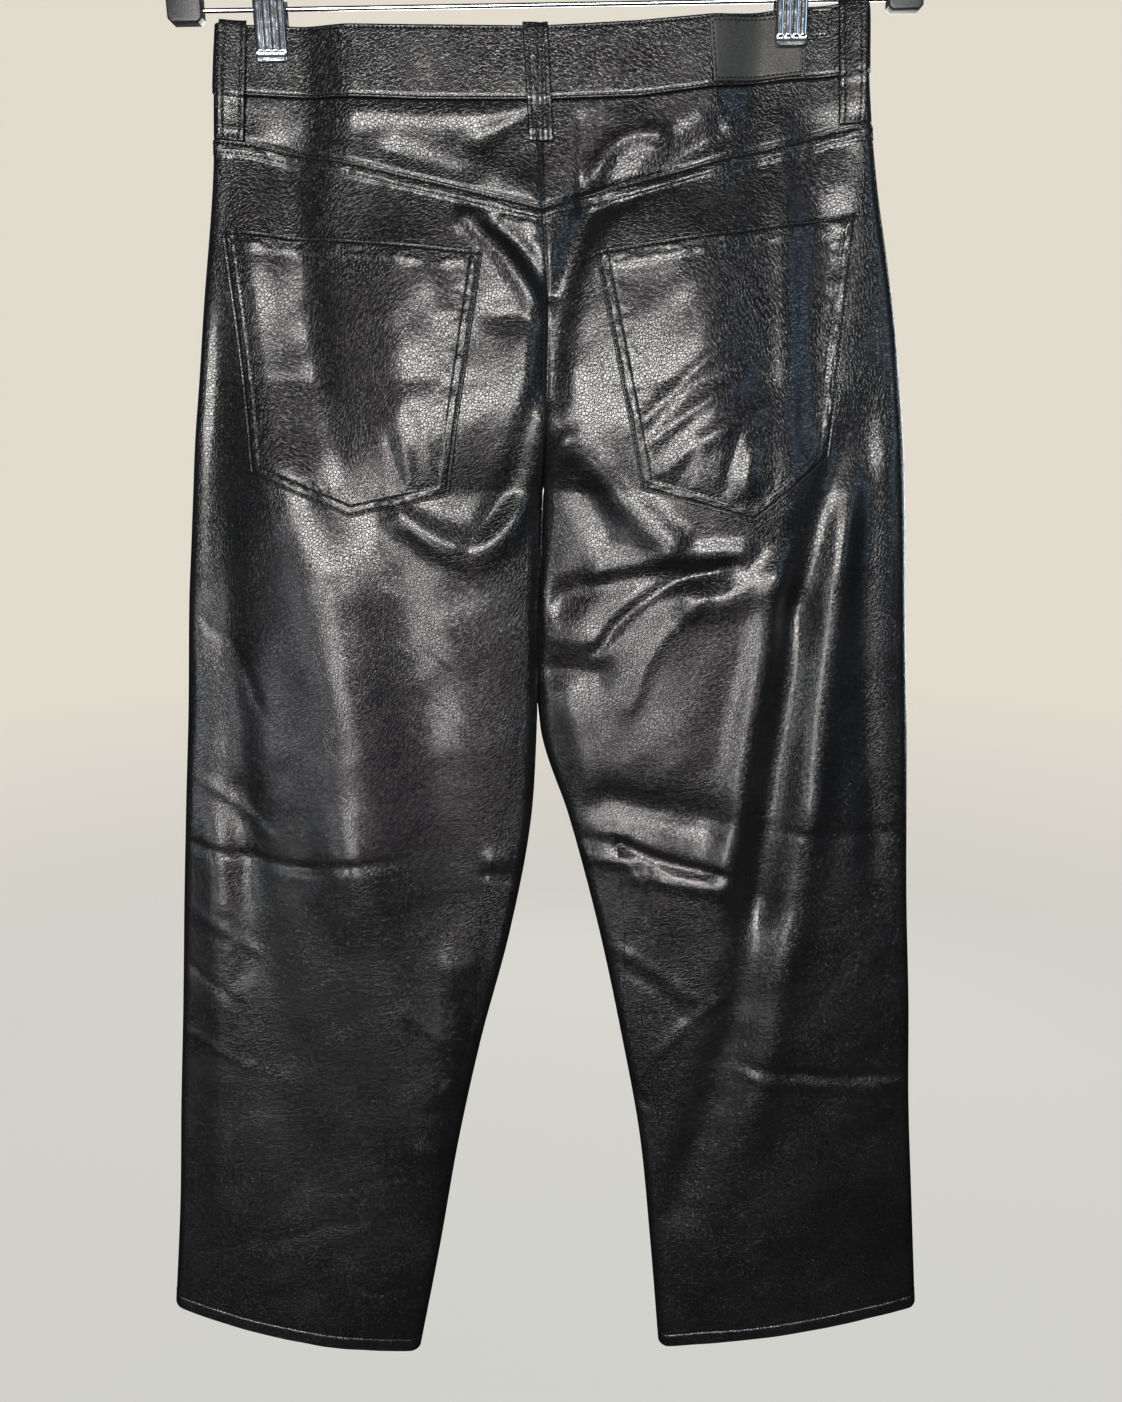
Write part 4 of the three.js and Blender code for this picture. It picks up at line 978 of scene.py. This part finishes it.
band_rows, front_rows = [], []
for seam, drop in (("top", BAND_ROW), ("band", -BAND_ROW)):
    band_rows.append(over(*along_seam(seam, drop, *BAND_SPAN), BAND_PROUD - BAND_GROOVE))
    for span in BAND_PARTS:
        front_rows.append(over(*along_seam(seam, drop, *span), BAND_PROUD - BAND_GROOVE, True))
sewn("stitches_waistband", band_rows)
sewn("stitches_waistband_front", front_rows, True)

s = np.linspace(*RISE_SPAN, ROW_POINTS)
sewn("stitches_rise", [over(through(SECTIONS, "inL", s) - RISE_ROW - SEAM_GAP / 2, s)])


def inside(corners, distances):
    """Corners of an outline moved in from each of its edges by a distance."""
    count = len(corners)
    middle = np.mean(corners, 0)
    moved = []
    for k in range(count):
        a, b = np.array(corners[k], float), np.array(corners[(k + 1) % count], float)
        normal = np.array([-(b - a)[1], (b - a)[0]]) / np.hypot(*(b - a))
        normal *= np.sign(np.dot(middle - a, normal))
        moved.append((a + normal * distances[k], b - a))
    meet = []
    for k in range(count):
        (p, d), (q, e) = moved[k - 1], moved[k]
        t = np.linalg.solve(np.array([d, -e]).T, q - p)
        meet.append(p + t[0] * d)
    return meet


for word, corners in POCKETS.items():
    rows = []
    for row in POCKET_ROWS:
        a, b, c, d, e = inside(corners, [ROW_END] + [row] * 4)
        for start, end in ((a, e), (e, d), (d, c), (c, b)):
            rows.append(line(start, end))
    for row in MOUTH_ROWS:
        a, b = inside(corners, [row] + [ROW_END] * 4)[:2]
        rows.append(line(a, b))
    sewn("stitches_pocket_" + word, [over(x, s, pocket_height(word, x, s)[0]) for x, s in rows])

loop_rows = {False: [], True: []}
for loop in LOOPS:
    (x0, s0), (x1, s1) = loop["top"], loop["foot"]
    for shift in (-LOOP_ROW, LOOP_ROW):
        x, s = line((x0 + shift, s0 + LOOP_ENDS[0]), (x1 + shift, s1 - LOOP_ENDS[1]))
        v = (s - s0) / (s1 - s0)
        loop_rows[loop["front"]].append(over(x, s, loop_lies(v) + LOOP_THICK - LOOP_GROOVE, loop["front"]))
    for up in LOOP_TACKS:
        x, s = line((x1 - TACK_HALF, s1 - up), (x1 + TACK_HALF, s1 - up), 12)
        v = (s - s0) / (s1 - s0)
        loop_rows[loop["front"]].append(over(x, s, loop_lies(v) + LOOP_THICK, loop["front"]))
sewn("stitches_loops", loop_rows[False])
sewn("stitches_loops_front", loop_rows[True], True)

patch_rows = []
for laid in ON_BAND:
    corners = laid["corners"]
    inner = inside(corners, [PATCH_ROW] * 4)
    if laid["name"] == "waist_tab":
        low, lower = inside(corners, [1, 1, TAB_ROW, 1]), inside(corners, [1, 1, PATCH_ROW, 1])
        pairs = [(low[3], low[2]), (lower[3], lower[2]), (inner[1], inner[2])]
    else:
        pairs = [(inner[k], inner[(k + 1) % 4]) for k in range(4)]
    patch_rows += [over(*line(a, b), PATCH_LIES + laid["thick"] - 0.2) for a, b in pairs]
sewn("stitches_patch", patch_rows)

hem_rows = {False: [], True: []}
for side in (-1, 1):
    for face in ("back", "front"):
        v = np.linspace(0.004, 0.996, 200)
        w = v if face == "back" else 2 - v
        hem_rows[face == "front"].append(cloth(side, w, np.full_like(w, HEM - HEM_ROW)))
sewn("stitches_hems", hem_rows[False])
sewn("stitches_hems_front", hem_rows[True], True)

v = np.linspace(0.0, FLY_STITCHED, ROW_POINTS)
fly_rows = []
for drop in FLY_ROWS:
    x, s = fly_point(np.full_like(v, 1 - drop / FLY["outer"]), v)
    fly_rows.append(over(x, s, FLY["lies"] + FLY["thick"], True))
sewn("stitches_fly", fly_rows, True)


# Waist button: a pressed metal cap with a raised rim on a short shank, on the front over the fly
BUTTON = {"x": 13, "s": 24, "sides": 36}
BUTTON_PROFILE = [
    (0, 4.7), (2.4, 4.65), (3.2, 4.4), (5.6, 4.45), (6.4, 4.9), (7.3, 5.2), (8.1, 5.1), (8.5, 4.5),
    (8.4, 3.4), (7.9, 2.6), (6.4, 2.4), (3.6, 2.4), (3.2, 2.2), (3.2, 0.0),
]


def chrome(name, tint, rough):
    finish, place, shader = new_finish(name, {"Base Color": (*tint, 1), "Metallic": 1.0})
    wear = place.noise(260, 4)
    wear.remap(0.35, 0.7, rough).plug(shader, "Roughness")
    wear.bump(0.03).plug(shader, "Normal")
    return finish


def lathe(name, profile, sides, finish):
    """A turned piece around +Z, from a profile of radius and height that starts on the axis."""
    turn = 2 * math.pi * np.arange(sides) / sides
    points = [(0, 0, profile[0][1])]
    for radius, height in profile[1:]:
        points += [(radius * math.cos(t), radius * math.sin(t), height) for t in turn]
    faces = [(0, 1 + k, 1 + (k + 1) % sides) for k in range(sides)]
    faces += [(a, d, c, b) for a, b, c, d in ring_quads(len(profile) - 1, sides, 1)]
    last = 1 + (len(profile) - 2) * sides
    faces.append(tuple(last + k for k in range(sides - 1, -1, -1)))
    return piece_of(name, points, faces, finish, 40)


button_metal = chrome("button_metal", (0.74, 0.75, 0.78), (0.14, 0.24))
piece = lathe("button", BUTTON_PROFILE, BUTTON["sides"], button_metal)
piece.rotation_euler = (-math.pi / 2, 0, 0)
piece.location = over(BUTTON["x"], BUTTON["s"], BAND_PROUD + SEAM_GAP, True) / 1000
declare(piece, "waist_button", "button_metal")


# Hanger: a bent steel hook, a moulded body whose shoulders end in two blocks, and the wire bar between
# them. It hangs a little down to the wearer's left.
HANGER_TILT = 0.0155
HOOK = {"radius": 20.75, "centre": -19.0, "wire": 1.75, "opening": 205}
SHOULDER = {"half_depth": 4.4, "round": 1.4}
BAR = {"radius": 1.25, "drop": 141.6, "half": 196.8}
ROD_SIDES = 16
hanger_metal = chrome("hanger_metal", (0.6, 0.62, 0.65), (0.13, 0.24))
hanger_plastic, place, shader = new_finish("hanger_plastic", {"Roughness": 0.42})
grain = place.noise(900, 3)
grain.blend((0.008, 0.008, 0.009), (0.02, 0.02, 0.022)).plug(shader, "Base Color")
grain.bump(0.08).plug(shader, "Normal")


def tipped(points, centre=(0, 0, 0)):
    """Points of the hanger turned by its tilt and moved to centre."""
    points = np.asarray(points, float)
    c, n = math.cos(HANGER_TILT), math.sin(HANGER_TILT)
    x, z = points[..., 0] * c - points[..., 2] * n, points[..., 0] * n + points[..., 2] * c
    return np.stack([x, points[..., 1], z], -1) + np.array(centre)


def rod(name, path, radius, round_ends=True):
    """A round steel rod along a path in the plane of x and z, with rounded ends where asked for."""
    path = np.asarray(path, float)
    heading = np.gradient(path, axis=0)
    heading /= np.linalg.norm(heading, axis=1)[:, None]
    normal = np.cross(heading, [0, 1, 0])
    turn = 2 * math.pi * np.arange(ROD_SIDES) / ROD_SIDES
    sizes = np.full(len(path), float(radius))
    if round_ends:
        for k, end in ((0, 1), (-1, -1)):
            steps = np.array([1, 0.9, 0.65, 0.3])
            cap = path[k] - end * heading[k] * radius * 0.6 * steps[:, None]
            width = radius * np.sqrt(1 - steps**2 * 0.92)
            if k == 0:
                path, sizes = np.concatenate([cap, path]), np.concatenate([width, sizes])
                heading = np.concatenate([np.repeat(heading[:1], 4, 0), heading])
                normal = np.concatenate([np.repeat(normal[:1], 4, 0), normal])
            else:
                path, sizes = np.concatenate([path, cap[::-1]]), np.concatenate([sizes, width[::-1]])
                normal = np.concatenate([normal, np.repeat(normal[-1:], 4, 0)])
    ring = normal[:, None] * np.cos(turn)[:, None] + np.array([0, 1, 0]) * np.sin(turn)[:, None]
    points = path[:, None] + ring * sizes[:, None, None]
    return piece_of(name, tipped(points.reshape(-1, 3)), tube_faces(len(path), ROD_SIDES), hanger_metal, 60)


bend = np.radians(np.linspace(-90, HOOK["opening"], 90))
across, up = HOOK["radius"] * np.cos(bend), HOOK["radius"] * np.sin(bend) + HOOK["centre"]
arc = np.stack([across, 0 * bend, up], -1)
stem = np.array([(0, 0, -51.0), (0, 0, -48.0), (0, 0, -45.0), (0.0, 0, -42.6)])
declare(rod("hook", np.concatenate([stem, arc[1:]]), HOOK["wire"]), "hanger_hook", "hanger_metal")

along = np.linspace(-BAR["half"], BAR["half"], 60)
bar_path = np.stack([along, 0 * along, 0 * along - BAR["drop"]], -1)
declare(rod("bar", bar_path, BAR["radius"], False), "hanger_bar", "hanger_metal")

BODY_HALF = [
    (11, -52), (11, -71), (24, -74.5), (60, -80.5), (110, -89.5), (160, -99), (197, -107), (207, -110.5),
    (214, -115), (217, -122), (217, -146.1), (214.6, -148.5), (199.4, -148.5), (197, -146.1), (197, -121),
    (160, -112.4), (110, -103), (60, -94.5), (24, -89.8), (11, -88.6), (0, -90.3),
]


def moulded(name, outline, half_depth, round_mm, finish):
    """A plate with an outline in the plane of x and z, its edges rounded."""
    made = bmesh.new()
    rim = [made.verts.new((x, -half_depth, z)) for x, z in outline]
    face = made.faces.new(rim)
    out = bmesh.ops.extrude_face_region(made, geom=[face])
    moved = [e for e in out["geom"] if isinstance(e, bmesh.types.BMVert)]
    bmesh.ops.translate(made, verts=moved, vec=(0, 2 * half_depth, 0))
    bmesh.ops.recalc_face_normals(made, faces=made.faces)
    edges = [e for e in made.edges if abs(e.verts[0].co.y - e.verts[1].co.y) < 1e-6]
    bmesh.ops.bevel(made, geom=edges, offset=round_mm, segments=4, profile=0.5, affect="EDGES")
    made.verts.index_update()
    points = tipped([tuple(v.co) for v in made.verts])
    faces = [tuple(v.index for v in f.verts) for f in made.faces]
    made.free()
    return piece_of(name, points, faces, finish, 35)


outline = BODY_HALF + [(-x, z) for x, z in BODY_HALF[-2::-1]]
shoulders = moulded("hanger_shoulders", outline, SHOULDER["half_depth"], SHOULDER["round"], hanger_plastic)
declare(shoulders, "hanger_body", "hanger_plastic")


# Clips: two sprung jaws of bright pressed steel on each, with four upright ribs that stop above a flat
# lip, and a short tube round the bar
CLIPS = [
    {"name": "left", "x": -156.0, "near": 4.15, "far": 4.15, "foot": 22.8, "corner": 1.2},
    {"name": "right", "x": 143.6, "near": 5.35, "far": 3.15, "foot": 15.0, "corner": 2.6},
]
JAW = {"half": 9.0, "thick": 1.0, "pitch": 4.3, "rib": 1.75, "proud": 0.9, "above": 5.5, "lip": 4.6}
SLEEVE = {"inner": 1.5, "half": 7.0, "bevel": 0.4, "sides": 36}


def bar_below(x):
    """How far the tilted bar lies below the origin at x."""
    return BAR["drop"] - HANGER_TILT * (x - HANGER_TILT * BAR["drop"])


def jaw(name, clip, face):
    """A jaw as a thin plate: ribs across its width, a flat lip at its foot, edges turned to the cloth."""
    outward = -1 if face == "back" else 1
    seat = clip["near"] if face == "back" else clip["far"]
    on_bar = bar_below(clip["x"])
    below = WAIST_DROP + clip["foot"] - on_bar
    x = np.linspace(-JAW["half"], JAW["half"], 61)
    z = np.concatenate([np.linspace(JAW["above"], -below + 7, 24), np.linspace(-below + 6.6, -below, 20)])
    X, Z = np.meshgrid(x, z)
    off_side = JAW["half"] - np.abs(X)
    up = Z + below
    narrower = clip["corner"] * (1 - turned(up, clip["corner"]))
    X = X * (1 - narrower / JAW["half"])
    rib = np.zeros_like(X)
    for k in range(4):
        off_rib = (X - (k - 1.5) * JAW["pitch"]) / JAW["rib"]
        rib = np.maximum(rib, np.sqrt(np.maximum(0, 1 - off_rib**2)))
    rib = rib * smooth((up - JAW["lip"]) / 1.6) * smooth((JAW["above"] - 0.6 - Z) / 1.0)
    rim = 0.35 * bell(off_side, 0.6, 0.5) + 0.4 * smooth((JAW["lip"] - 1 - up) / 0.8) * (up > 0.4)
    outer = JAW["thick"] + JAW["proud"] * rib + rim
    edge = turned(np.minimum(np.minimum(off_side, up), JAW["above"] - Z), 0.5)
    front = seat + 0.4 + (outer - 0.4) * edge
    plate = [np.stack([X, outward * depth, Z], -1) for depth in (front, seat + 0 * front)]
    plate = [tipped(grid, (clip["x"], 0, -on_bar)) for grid in plate]
    return wall(name, *plate, hanger_metal, 40)


for clip in CLIPS:
    for face in ("back", "front"):
        node = f"clip_{clip['name']}_jaw_{face}"
        declare(jaw("steel_" + node, clip, face), node, "hanger_metal")
    node = f"clip_{clip['name']}_sleeve"
    outer = min(clip["near"], clip["far"]) - SEAM_GAP
    bevelled = outer - SLEEVE["bevel"]
    profile = [(SLEEVE["inner"], -1), (bevelled, -1), (outer, -0.94), (outer, 0.94), (bevelled, 1),
               (SLEEVE["inner"], 1)]
    turn = np.linspace(0, 2 * math.pi, SLEEVE["sides"] + 1)[:-1]
    points = [(SLEEVE["half"] * t, r * math.cos(a), r * math.sin(a)) for r, t in profile for a in turn]
    points = tipped(points, (clip["x"], 0, -bar_below(clip["x"])))
    faces = [(a, d, c, b) for a, b, c, d in ring_quads(len(profile), len(turn), closed=True)]
    declare(piece_of("steel_" + node, points, faces, hanger_metal, 40), node, "hanger_metal")
